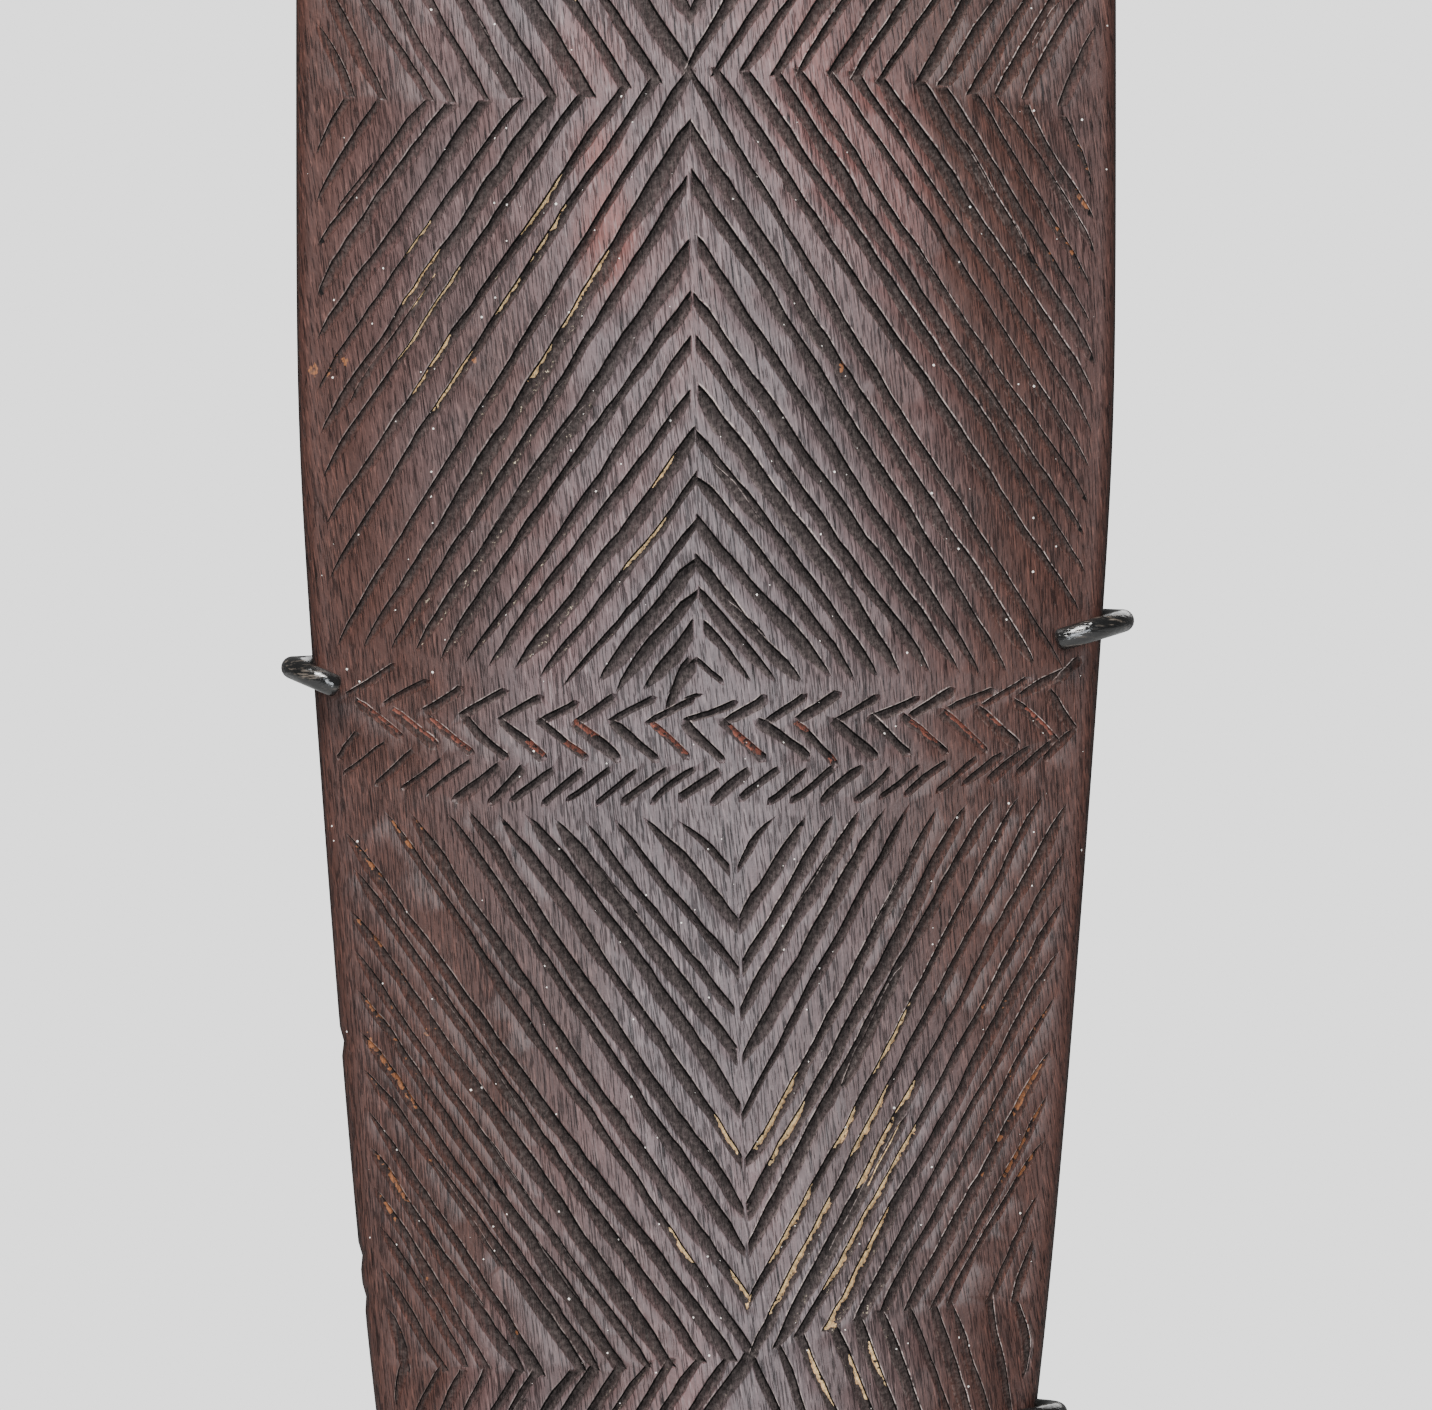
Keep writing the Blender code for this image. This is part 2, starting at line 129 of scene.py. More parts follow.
# How far the hand strays from the layout
CARVING_SEED = 11
HAND_WANDER = 0.0005
KNOT_WANDER = 0.0007
WIDTH_SPREAD = (0.68, 1.10)
DEPTH_SPREAD = (0.85, 1.1)

# How far above and below the middle row its bends are felt where the carving is turned over
ROW_REACH = 0.060

# Each fan: side, outer tip of the middle row, the row's sag, grooves from the row, the row's crossing
# with the axis, grooves from the axis, their last apex, where the first and last of the row's grooves
# meet the edge, outer and inner end of the line that the axis grooves run to, and their first steps' drift
FANS = (
    (LEFT, (-0.957, -0.009), -0.010, 11, (-0.039, 0.0), 13, (-0.017, -0.268),
     (-0.017, -0.230), (-0.897, -0.262), (-0.104, -0.284), 0.28),
    (RIGHT, (0.921, -0.022), 0.007, 14, (-0.039, 0.0), 13, (-0.017, -0.268),
     (-0.035, -0.245), (0.860, -0.271), (0.053, -0.280), 0.28),
    (LEFT, (-0.780, -0.588), -0.004, 14, (0.107, -0.582), 10, (0.072, -0.364),
     (-0.578, -0.344), (-0.785, -0.334), (-0.083, -0.340), 0.0),
    (RIGHT, (0.817, -0.559), 0.008, 11, (0.107, -0.582), 10, (0.072, -0.364),
     (-0.552, -0.330), (0.831, -0.327), (0.175, -0.337), 0.0),
    (LEFT, (-0.780, -0.588), -0.004, 14, (0.107, -0.582), 10, (0.066, -0.830),
     (-0.596, -0.780), None, None, 0.0),
    (RIGHT, (0.817, -0.559), 0.008, 11, (0.107, -0.582), 10, (0.066, -0.830),
     (-0.575, -0.780), None, None, 0.0),
)

# Each row of the band: width, start of its first and last stroke, strokes, arch, and a stroke's run
BAND_ROWS = (
    (TOP_STROKE_WIDTH, (-0.865, -0.2805), (0.860, -0.277), 20, -0.016, (0.106, 0.0103)),
    (MIDDLE_STROKE_WIDTH, (-0.850, -0.285), (0.838, -0.281), 20, -0.0125, (0.102, -0.0173)),
    (LOW_STROKE_WIDTH, (-0.850, -0.300), (0.925, -0.298), 27, -0.018, (-0.096, -0.0146)),
)

# Strokes that close the smallest chevron: start, end and width
LAST_CHEVRON = (
    ((-0.034, -0.2655), (-0.100, -0.2900), 0.0017),
    ((-0.031, -0.2655), (0.051, -0.2795), 0.0020),
    ((-0.053, -0.2845), (-0.022, -0.2814), 0.0009),
)

# A groove's section, from its sloping lower side (-1) to its steep upper wall (+1)
LANES = (-1.12, -0.96, -0.50, 0.10, 0.78, 1.0, 1.10, 1.30)
LANE_DEPTHS = (0.0, 0.10, 0.62, 0.92, 1.0, 0.05, -0.04, 0.0)
LOW_LAND, LOW_RIM, SLOPE, FLOOR, WALL_FOOT, HIGH_RIM, LIP, HIGH_LAND = LANES

# What is worked out at each station along a groove
STATION_VALUES = ("halves", "depths", "faint", "upper", "lower", "sway", "grit", "rim_wear_and_highlight")

# How a groove's ends are cut, in metres and in shares of its width and depth
START_SHIFT = {"axis": (-0.0013, 0.0005), "row": (-0.0020, -0.0006)}
START_RAMP = 0.0009
START_DEPTH = 0.75
BLUNTNESS = (0.45, 1.0)
NARROWING_POWER = 0.6
SHALLOWING_POWER = 0.75
SWAY_START = 0.004
MITRE_LIMIT = 1.6

# The hand's drift along a groove: largest step and limit of each random walk
HAND_DRIFT = {
    "depth": (0.10, 0.22),
    "upper": (0.15, 0.26),
    "lower": (0.30, 0.45),
    "sway": (0.00015, 0.00030),
    "grit": (0.45, 1.0),
    "rim_wear_and_highlight": (0.3, 0.5),
}
DRIFT_KEPT = 0.8

# Strength of the light line on the lower and the upper rim, a painted highlight with some wear, for cuts
# that run to the left and to the right
RIM_WEAR_AND_HIGHLIGHT = {LEFT: (0.0, 0.35), RIGHT: (0.1, 0.9)}

# Second passes of the knife: which grooves have them, and their place, width and depth
RECUT_SHARE = 0.4
RECUT_SHORTEST = 0.030
RECUT_ASIDE = 0.75
RECUT_START = (0.1, 0.6)
RECUT_RUN = (0.2, 0.45)
RECUT_LAST = 0.95
RECUT_LEAN = (-0.4, 1.2)
RECUT_WIDTH = (0.45, 0.75)
RECUT_DEPTH = (0.6, 0.95)

# Dirt, painted shade and marks in the cuts: above BROAD_CREAM the cream strips are thinner
MARK_FADE = 0.0015
END_FADE = 0.002
START_DIRT_AND_SHADE = 0.2
LEAST_DIRT_AND_SHADE = 0.25
GRIT_DIRT_AND_SHADE = 0.06
EDGE_LESS_DIRT_AND_SHADE = 0.22
LINE_THINNING = 0.7
BROAD_CREAM = -0.44
THIN_CREAM = 0.78

# How far from a cut its marks are looked for, in half widths and in lanes, and its smallest half width
SEARCH_REACH = 4
FARTHEST_LANE = 9.0
SMALLEST_HALF = 1e-6
MILLIMETRES = 1000

# Red and brown clouds, brown towards the edges that is partly painted shade of the sloping sides, painted
# shade on the side wall, and the grain's lean and bend
RED_CLOUD = 0.6
BROWN_CLOUD = 0.35
BROWN_START = 0.24
BROWN_REACH = 0.50
# Painted shade on the side wall, set by the share of the half thickness away from its middle
SIDE_SHADE_START = 0.62
SIDE_SHADE_REACH = 0.35
GRAIN_LEAN = 0.10
GRAIN_BEND = 0.006

# Hollows of the scraped wood: waves per metre across and along, place in the noise, and height
LAND_WAVES = ((55, 26, 3.1, 0.00022), (210, 75, 7.7, 0.00008))
RELIEF_FADE = 4 * RIM_INSET

# Mesh steps
STATION_STEP = 0.0030
OUTLINE_STEPS = 420
RIM_STEPS = 10
LAND_GRID = 0.005
BACK_GRID = 0.007
GRID_SLIP = 0.3
LAND_MARGIN = RIM_INSET * 1.6
BACK_MARGIN = RIM_INSET * 2
LANE_CLEARANCE = LAND_GRID * 0.45
SMALLEST_GAP = 1e-7
FACE_LIMIT = -RIM_THICKNESS * 0.3
SHIELD_SMOOTHING = math.radians(38)
ROD_SMOOTHING = math.radians(50)

# Dents in the left edge: height above the middle and depth
EDGE_DENTS = ((-0.193, 0.0011), (-0.2365, 0.0006), (-0.246, 0.0009))
DENT_REACH = 0.0011

# Stand: an arm's tilt is how much higher its right hook is than its left one
ROD_RADIUS = 0.0023
TOUCH_GAP = 0.0003
ARM_TILT = {"upper_arm": 0.0094, "lower_arm": 0.0116}
HOOK_SLACK = 0.0018
HOOK_FALL = {
    "upper_arm": {LEFT: 0.0040, RIGHT: 0.0042},
    "lower_arm": {LEFT: 0.0030, RIGHT: 0.0016},
}
BACK_LIFT = 0.0004
HOOK_REACH = {
    "upper_arm": {LEFT: 0.0054, RIGHT: 0.0096},
    "lower_arm": {LEFT: 0.0054, RIGHT: 0.0056},
}
HOOK_STEPS = 16
END_LENGTH = 0.0011
END_SHARES = (0.004, 0.05, 0.15, 0.32, 0.58, 1.0)
ROD_RESOLUTION = 8
ARM_BACK_Y = RIM_THICKNESS / 2 + BACK_RISE + TOUCH_GAP + ROD_RADIUS

# Photograph's frame: width of what it shows at the edge plane, and the point at its centre
VIEW_WIDTH = 0.2864
VIEW_PLANE = -0.010
VIEW_CENTRE = (0.0020, -0.1264)
SENSOR_WIDTH = 36.0

# Lamps: place, size, tint, and the share of its power setting
KEY_LAMP = ((-0.30, -0.95, 1.75), (0.6, 0.5), (1.0, 0.99, 0.97), 1.0)
FRONT_LAMP = ((0.10, -3.4, 0.80), (1.6, 1.2), (0.90, 0.95, 1.0), 1.0)
BACK_LAMP = ((0.6, 1.3, 1.3), (1.0, 1.0), (1.0, 1.0, 1.0), 1 / 12)
FLOOR_RADIUS = 2.0
FLOOR_SIDES = 96

# Clouds of colour, pores and bent grain over the shield, in waves per metre along X, Y and Z
BROWN_CLOUDS = (22, 22, 9)
RED_CLOUDS = (30, 30, 10)
PORE_CLOUDS = (75, 75, 22)
BEND_CLOUDS = (14, 14, 5)

# Noise of the wood, in cells per metre, along X, Y and Z where it is stretched
PORE_SCALE = (3600, 1200, 230)
FIBRE_SCALE = (3200, 1200, 260)
LINE_SCALE = (2100, 1500, 90)
FIBRE_LEAN = 0.05
MOTTLE_SCALE = 1100.0
FLAKE_SCALE = 420.0
PALE_GRAIN_AND_GLINT_SCALE = 1500.0
SPECK_SCALE = 400.0

# Noise of the stand's coats, in cells per metre
# Scuffs and painted reflection streaks along the rods
SCUFF_AND_REFLECTION_SCALE = (120, 420, 1500)
LUMP_SCALE = 420.0
POWDER_SCALE = 1600.0
CLOUD_SCALE = 30.0
DUST_SCALE = 260.0


# Outline and section of the shield


def half_width(along):
    """The outline's half width at a height above the shield's middle."""
    share = min(1.0, abs(along) / HALF_LENGTH)
    ramp = TAPER_EASE * math.log1p(math.exp((share - TAPER_START) / TAPER_EASE))
    nose = (1 - share**NOSE_POWER) ** NOSE_ROUNDNESS
    return HALF_WIDTH * (1 - TAPER_RATE * ramp) * nose


def swell(along):
    """How much of the full crown stands at this height, less towards the two noses."""
    return (half_width(along) / HALF_WIDTH) ** SWELL_POWER


def crown(across, along):
    """Share of the crown at a point of the face: 0 on the rim, 1 on the crest."""
    reach = max(half_width(along) - RIM_INSET, RIM_INSET)
    return swell(along) * (1 - min(1.0, abs(across) / reach) ** 2)


def face_y(across, along):
    """The uncut face, towards -Y."""
    return -RIM_THICKNESS / 2 - CREST_RISE * crown(across, along)


def back_y(across, along):
    """The back, towards +Y."""
    return RIM_THICKNESS / 2 + BACK_RISE * crown(across, along)


def smooth(share):
    """Ease from 0 to 1."""
    share = min(1.0, max(0.0, share))
    return share * share * (3 - 2 * share)


def outline_loop(inset):
    """The outline, counter-clockwise seen from the front, moved inwards by the inset."""
    angles = [math.pi * (k / OUTLINE_STEPS - 0.5) for k in range(OUTLINE_STEPS)]
    heights = [HALF_LENGTH * math.sin(angle) for angle in angles]
    right = [Vector((half_width(height), height)) for height in heights]
    points = right + [Vector((-point.x, -point.y)) for point in right]
    inner = []
    for k, point in enumerate(points):
        way = points[(k + 1) % len(points)] - points[k - 1]
        inner.append(point + Vector((-way.y, way.x)).normalized() * (inset + edge_dent(point)))
    return inner


def edge_dent(point):
    """How far a dent takes the edge in at this point of the outline."""
    if point.x > 0:
        return 0.0
    return sum(depth * math.exp(-((point.y - along) / DENT_REACH) ** 2) for along, depth in EDGE_DENTS)


# Layout of the carving


def spot(across, along):
    """A layout point on the shield."""
    return Vector((across * HALF_WIDTH, along * HALF_LENGTH))


def rail(start, end, count, drift=0.0, sag=0.0, wander=0.0):
    """Points from start to end: drift makes the first steps longer, and sag bends the row.

    Wander is the hand's own spacing, the same for every fan that shares the row.
    """
    hand = random.Random(CARVING_SEED + count)
    way = (end - start).normalized()
    points = []
    for k in range(count + 1):
        t = k / count
        slip = hand.gauss(0, wander) if 0 < k < count else 0.0
        bend = spot(0, sag * 4 * t * (1 - t))
        points.append(start.lerp(end, t + drift * t * (1 - t)) + bend + way * slip)
    return points


def row_height(across):
    """Height of the middle row, where the two halves of the carving meet."""
    left_fan, right_fan, *_ = FANS
    crossing = left_fan[4]
    _, tip, sag, *_ = left_fan if across < crossing[0] * HALF_WIDTH else right_fan
    outer = spot(*tip)
    inner = spot(*crossing)
    t = min(1.0, max(0.0, (across - outer.x) / (inner.x - outer.x)))
    return outer.lerp(inner, t).y + spot(0, sag * 4 * t * (1 - t)).y


def turned(point, flip):
    """The point, turned over the middle row to the upper half when flip is -1."""
    if flip > 0:
        return Vector(point)
    near = max(0.0, 1 - abs(point.y) / ROW_REACH)
    return Vector((point.x, 2 * row_height(point.x) * near - point.y))


def edge_rail(side, start, end, count):
    """Points that follow the outline just inside the rim, between two shares of the half length."""
    points = []
    for k in range(count):
        along = HALF_LENGTH * (start + (end - start) * k / (count - 1))
        points.append(Vector((side * (half_width(along) - EDGE_MARGIN), along)))
    return points


def inside(point):
    """The point, brought in from the rim where it lies on it."""
    reach = half_width(point.y) - EDGE_MARGIN
    return Vector((max(-reach, min(reach, point.x)), point.y))


def groove(start, end, width, depth, tapers, hand):
    """One hand cut groove, with its ends a little off the layout and a slight bow."""
    slips = [Vector((hand.gauss(0, HAND_WANDER), hand.gauss(0, HAND_WANDER))) for _ in range(2)]
    return {
        "start": inside(start + slips[0] / 2),
        "end": inside(end + slips[1]),
        "half": width / 2 * hand.uniform(*WIDTH_SPREAD),
        "depth": depth * hand.uniform(*DEPTH_SPREAD),
        "tapers": tapers,
        "bow": hand.gauss(0, HAND_WANDER),
        "number": None,
        "mitre": None,
        "cream": [],
    }


def fan_grooves(fan, flip, hand):
    """Every groove of one fan, turned over to the other half of the shield when flip is -1."""
    side, tip, sag, tips, crossing, stacked, last, edge, outer, inner, drift = fan
    starts = rail(spot(*tip), spot(*crossing), tips, 0.0, sag, KNOT_WANDER)[:-1]
    starts += rail(spot(*crossing), spot(*last), stacked, drift, 0.0, KNOT_WANDER)
    ends = edge_rail(side, edge[0], edge[1], tips)
    if outer is None:
        ends += edge_rail(side, edge[1], LAST_EDGE_END, stacked + 2)[1:]
    else:
        ends += rail(spot(*outer), spot(*inner), stacked)
    grooves = []
    for k, (start, end) in enumerate(zip(starts, ends)):
        way = end - start
        if way.length < SHORTEST_ARM:
            continue
        start = start + way.normalized() * APEX_GAP
        tapers = (APEX_TAPER, TAIL_TAPER)
        width = GROOVE_WIDTH[side] * (LOWER_FAN_WIDTH if last[1] < LOWER_FANS else 1.0)
        cut = groove(turned(start, flip), turned(end, flip), width, GROOVE_DEPTH, tapers, hand)
        cut["mitre"] = "row" if k <= tips else "axis"
        grooves.append(cut)
    return grooves


def band_grooves(flip, hand):
    """The three rows of short strokes that make a band's zigzag."""
    grooves = []
    for width, first, last, count, arch, run in BAND_ROWS:
        for number in range(count):
            share = number / (count - 1)
            start = spot(*first).lerp(spot(*last), share)
            start += spot(0, arch * (1 - abs(2 * share - 1) ** ARCH_POWER))
            reach = spot(*run) * STROKE_STRETCH / 2
            start, end = start - reach, start + spot(*run) + reach
            tapers = (STROKE_TAPER, STROKE_TAPER)
            cut = groove(turned(start, flip), turned(end, flip), width, STROKE_DEPTH, tapers, hand)
            cut["number"] = number if width == MIDDLE_STROKE_WIDTH else None
            cut["bow"] *= STROKE_BOW
            grooves.append(cut)
    return grooves


def all_grooves():
    """The whole carving, the lower half first."""
    hand = random.Random(CARVING_SEED)
    grooves = []
    for flip in (1, -1):
        for *ends, width in LAST_CHEVRON:
            start, end = [turned(spot(*place), flip) for place in ends]
            grooves.append(groove(start, end, width, STROKE_DEPTH, (STROKE_TAPER, STROKE_TAPER), hand))
        for fan in FANS:
            grooves += fan_grooves(fan, flip, hand)
        grooves += band_grooves(flip, hand)
    return grooves


# Pigments, stains and wear, in shares of the half width and the half length

# Where cream pigment stays in the cuts of the lower half, from one end of a strip to the other
CREAM_MARKS = (
    (-0.66, -0.070, -0.73, -0.085), (-0.64, -0.084, -0.73, -0.108), (-0.59, -0.094, -0.73, -0.130),
    (-0.61, -0.124, -0.70, -0.150), (-0.35, -0.049, -0.44, -0.076), (-0.32, -0.067, -0.39, -0.088),
    (-0.42, -0.097, -0.47, -0.112), (-0.27, -0.103, -0.33, -0.121), (-0.35, -0.127, -0.43, -0.142),
    (-0.55, -0.134, -0.64, -0.157), (-0.22, -0.088, -0.31, -0.112), (-0.06, -0.181, -0.11, -0.192),
    (-0.08, -0.209, -0.18, -0.226), (0.47, -0.422, 0.39, -0.449), (0.44, -0.458, 0.42, -0.468),
    (0.41, -0.471, 0.35, -0.486), (0.21, -0.454, 0.12, -0.483), (0.24, -0.471, 0.17, -0.494),
    (0.34, -0.468, 0.30, -0.483), (0.51, -0.460, 0.48, -0.470), (0.50, -0.478, 0.42, -0.503),
    (0.47, -0.475, 0.37, -0.501), (0.03, -0.478, 0.09, -0.488), (-0.09, -0.527, -0.05, -0.539),
    (0.28, -0.508, 0.17, -0.539), (0.34, -0.510, 0.26, -0.535), (0.25, -0.539, 0.19, -0.557),
    (0.42, -0.503, 0.28, -0.546), (0.46, -0.513, 0.33, -0.553), (0.37, -0.558, 0.32, -0.573),
    (0.26, -0.584, 0.32, -0.606), (0.34, -0.585, 0.39, -0.601), (0.41, -0.580, 0.44, -0.595),
    (0.06, -0.546, 0.11, -0.555),
)

# Where red pigment stays in the middle strokes of a band: stroke's number, start and end of its length
OCHRE_MARKS = (
    (0, 0.1, 0.9), (1, 0.0, 0.95), (2, 0.1, 0.9), (4, 0.5, 0.9), (5, 0.55, 1.0), (6, 0.0, 0.5),
    (8, 0.1, 0.85), (10, 0.2, 0.8), (12, 0.0, 0.3), (12, 0.8, 1.0), (15, 0.2, 0.7), (16, 0.1, 0.9),
    (17, 0.2, 0.5), (18, 0.2, 0.8),
)

# Patches, each with its centre across and along, its reach across and along, and its strength:
# first redder, paler and darker wood
RED_PATCHES = (
    (-0.245, -0.074, 0.075, 0.026, 1.9),
    (-0.27, -0.036, 0.09, 0.020, 1.3),
    (-0.30, 0.005, 0.15, 0.030, 0.9),
    (-0.45, -0.060, 0.30, 0.080, 0.50),
    (0.10, 0.010, 0.40, 0.050, 0.35),
    (0.47, -0.010, 0.45, 0.090, 0.65),
    (-0.70, 0.020, 0.25, 0.060, 0.4),
    (0.02, -0.045, 0.30, 0.075, 0.38),
)
PALER_PATCHES = (
    (-0.64, -0.070, 0.22, 0.080, 0.55),
    (-0.66, -0.155, 0.14, 0.050, 0.40),
    (0.90, -0.060, 0.08, 0.120, 0.25),
)
DARKER_PATCHES = (
    (0.34, -0.130, 0.26, 0.110, 0.24),
    (0.45, 0.010, 0.30, 0.060, 0.20),
    (0.62, -0.330, 0.22, 0.110, 0.22),
    (0.62, -0.560, 0.20, 0.090, 0.18),
    (0.30, -0.630, 0.30, 0.060, 0.15),
    (-0.88, -0.285, 0.20, 0.030, 0.35),
    (0.90, -0.290, 0.20, 0.040, 0.35),
)

# Patches where the rims of the cuts hold pale grains, partly painted glints
GRAIN_AND_GLINT_PATCHES = (
    (-0.48, -0.245, 0.30, 0.040, 1.0),
    (-0.45, -0.140, 0.26, 0.070, 0.7),
    (0.36, -0.560, 0.24, 0.040, 0.7),
    (-0.10, -0.600, 0.20, 0.030, 0.6),
)

# Patches where the cuts are stained orange, and orange spots of the land
ORANGE_CUTS = (
    (-0.914, -0.133, 0.10, 0.012, 0.8),
    (-0.90, -0.430, 0.24, 0.150, 0.92),
    (0.92, -0.070, 0.14, 0.060, 0.7),
    (0.80, -0.480, 0.16, 0.100, 0.75),
    (-0.90, 0.400, 0.22, 0.140, 0.6),
)
ORANGE_SPOTS = (
    (-0.957, -0.134, 0.020, 0.007, 1.0),
    (-0.877, -0.131, 0.032, 0.005, 1.0),
    (0.836, -0.078, 0.016, 0.005, 1.0),
    (-0.829, -0.351, 0.012, 0.008, 1.0),
    (-0.683, -0.435, 0.012, 0.009, 1.0),
    (-0.464, -0.571, 0.010, 0.007, 1.0),
    (-0.671, -0.496, 0.012, 0.006, 1.0),
    (-0.816, -0.442, 0.016, 0.008, 1.0),
    (-0.560, -0.130, 0.014, 0.006, 0.9),
    (0.330, -0.136, 0.020, 0.007, 0.9),
)


# Each groove as the knife left it


def distance(cut, point):
    """How far a point is from a groove's centre line."""
    way = cut["end"] - cut["start"]
    share = min(1.0, max(0.0, (point - cut["start"]).dot(way) / way.length_squared))
    return (cut["start"] + way * share - point).length


def lay_cream(grooves):
    """Give each strip of cream pigment to the groove it lies in, on both halves of the shield."""
    arms = [cut for cut in grooves if cut["mitre"] is not None]
    for across, along, last_across, last_along in CREAM_MARKS:
        strength = 1.0 if along < BROAD_CREAM else THIN_CREAM
        for flip in (1, -1):
            ends = [turned(spot(*end), flip) for end in ((across, along), (last_across, last_along))]
            cut = min(arms, key=lambda item: distance(item, ends[0]) + distance(item, ends[1]))
            way = cut["end"] - cut["start"]
            first, last = sorted((end - cut["start"]).dot(way) / way.length_squared for end in ends)
            cut["cream"].append((first, last, strength))


def patch_strength(patches, across, along):
    """The strongest patch at each point, falling off smoothly from its centre."""
    best = np.zeros_like(across)
    for u, v, reach_u, reach_v, strength in patches:
        far = ((across / HALF_WIDTH - u) / reach_u) ** 2 + ((along / HALF_LENGTH - v) / reach_v) ** 2
        best = np.maximum(best, strength * np.exp(-far))
    return best


def walk(hand, count, step, limit):
    """A random walk that stays near 0: how a hand drifts along a cut."""
    values = [hand.uniform(-limit, limit) / 2]
    for _ in range(count - 1):
        drifted = values[-1] * DRIFT_KEPT + hand.uniform(-step, step)
        values.append(max(-limit, min(limit, drifted)))
    return np.array(values)


def station_shares(length, tail):
    """Where the stations lie along a groove, closer together at its ends."""
    count = max(4, math.ceil(length / STATION_STEP))
    even = np.linspace(2.5 * START_RAMP / length, 1.0, count)
    shares = np.concatenate(([0.0, START_RAMP / length], even))
    if tail == STROKE_TAPER:
        shares = np.sort(np.append(shares, (1 - tail / length, 1 - tail / 2 / length)))
    return shares


def knife_stations(cut, hand):
    """Give a groove its direction, and its arrays of shares, widths, depths and rim highlight and wear
    along it.
    """
    if cut["mitre"] is not None:
        way = cut["end"] - cut["start"]
        cut["start"] = cut["start"] + way.normalized() * hand.uniform(*START_SHIFT[cut["mitre"]])
    way = cut["end"] - cut["start"]
    length = way.length
    unit = way / length
    normal = Vector((-unit.y, unit.x)) * math.copysign(1.0, way.x)
    apex, tail = cut["tapers"]
    shares = station_shares(length, tail)
    here = shares * length
    ending = np.minimum(1, (1 - shares) * length / tail)
    middles = [cut["start"].lerp(cut["end"], share) for share in shares]
    outward = [abs(point.x) / max(half_width(point.y), RIM_INSET) for point in middles]
    fade = np.array([smooth((value - FADE_START) / (FADE_END - FADE_START)) for value in outward])
    blunt = hand.uniform(*BLUNTNESS)
    narrowing = np.interp(here, (0, 2 * apex), (blunt, 1.0)) * ending**NARROWING_POWER
    shallowing = np.interp(here, (0, START_RAMP, 3 * START_RAMP), (0, START_DEPTH, 1.0))
    shallowing = shallowing * ending**SHALLOWING_POWER
    drift = {name: walk(hand, len(shares), *reach) for name, reach in HAND_DRIFT.items()}
    # One draw more, so that every groove after this one keeps its own hand
    hand.random()
    across = {"row": Vector((0.0, 1.0)), "axis": Vector((1.0, 0.0)), None: None}[cut["mitre"]]
    shear = 0.0 if across is None else -normal.dot(across) / unit.dot(across)
    cut["shares"] = shares
    cut["halves"] = cut["half"] * (1 - WIDTH_FADE * fade) * narrowing
    cut["depths"] = cut["depth"] * (1 - EDGE_FADE * fade) * shallowing * (1 + drift["depth"])
    cut["faint"] = fade
    cut["upper"] = 1 + drift["upper"]
    cut["lower"] = 1 + drift["lower"]
    cut["sway"] = drift["sway"] * np.minimum(1, here / SWAY_START)
    cut["grit"] = drift["grit"]
    cut["rim_wear_and_highlight"] = 0.5 + drift["rim_wear_and_highlight"]
    cut["unit"] = unit
    cut["normal"] = normal
    cut["length"] = length
    cut["low_rim"], cut["high_rim"] = RIM_WEAR_AND_HIGHLIGHT[RIGHT if way.x > 0 else LEFT]
    cut["shear"] = max(-MITRE_LIMIT, min(MITRE_LIMIT, shear))


def recuts(grooves, hand):
    """Second passes of the knife that widen a stretch of some long grooves."""
    extra = []
    for cut in grooves:
        way = cut["end"] - cut["start"]
        if cut["mitre"] is None or way.length < RECUT_SHORTEST or hand.random() > RECUT_SHARE:
            continue
        normal = Vector((-way.y, way.x)).normalized()
        aside = normal * cut["half"] * hand.choice((-RECUT_ASIDE, RECUT_ASIDE))
        first = hand.uniform(*RECUT_START)
        last = min(RECUT_LAST, first + hand.uniform(*RECUT_RUN))
        again = dict(cut)
        again["start"] = cut["start"].lerp(cut["end"], first) + aside
        again["end"] = cut["start"].lerp(cut["end"], last) + aside * hand.uniform(*RECUT_LEAN)
        again["half"] = cut["half"] * hand.uniform(*RECUT_WIDTH)
        again["depth"] = cut["depth"] * hand.uniform(*RECUT_DEPTH)
        again["mitre"] = None
        again["cream"] = []
        again["bow"] = 0.0
        again["tapers"] = (TAIL_TAPER / 3, TAIL_TAPER / 2)
        extra.append(again)
    return extra


def lane_point(cut, k, lane):
    """The point of station k on a lane, +1 the steep upper rim and -1 the lower rim."""
    share = cut["shares"][k]
    rim = cut["upper"][k] if lane > 0 else cut["lower"][k]
    aside = cut["bow"] * 4 * share * (1 - share) + cut["sway"][k] + lane * rim * cut["halves"][k]
    along = share * cut["length"] + cut["shear"] * aside * (1 - share)
    return cut["start"] + cut["unit"] * float(along) + cut["normal"] * float(aside)


def along_marks(cut, marks, share):
    """1 where a share of a groove's length lies in one of its marks, fading at their ends."""
    fade = MARK_FADE / cut["length"]
    kept = np.zeros(len(share))
    for first, last, strength in marks:
        here = np.interp(share, (first - fade, first, last, last + fade), (0, 1, 1, 0))
        kept = np.maximum(kept, strength * here)
    return kept


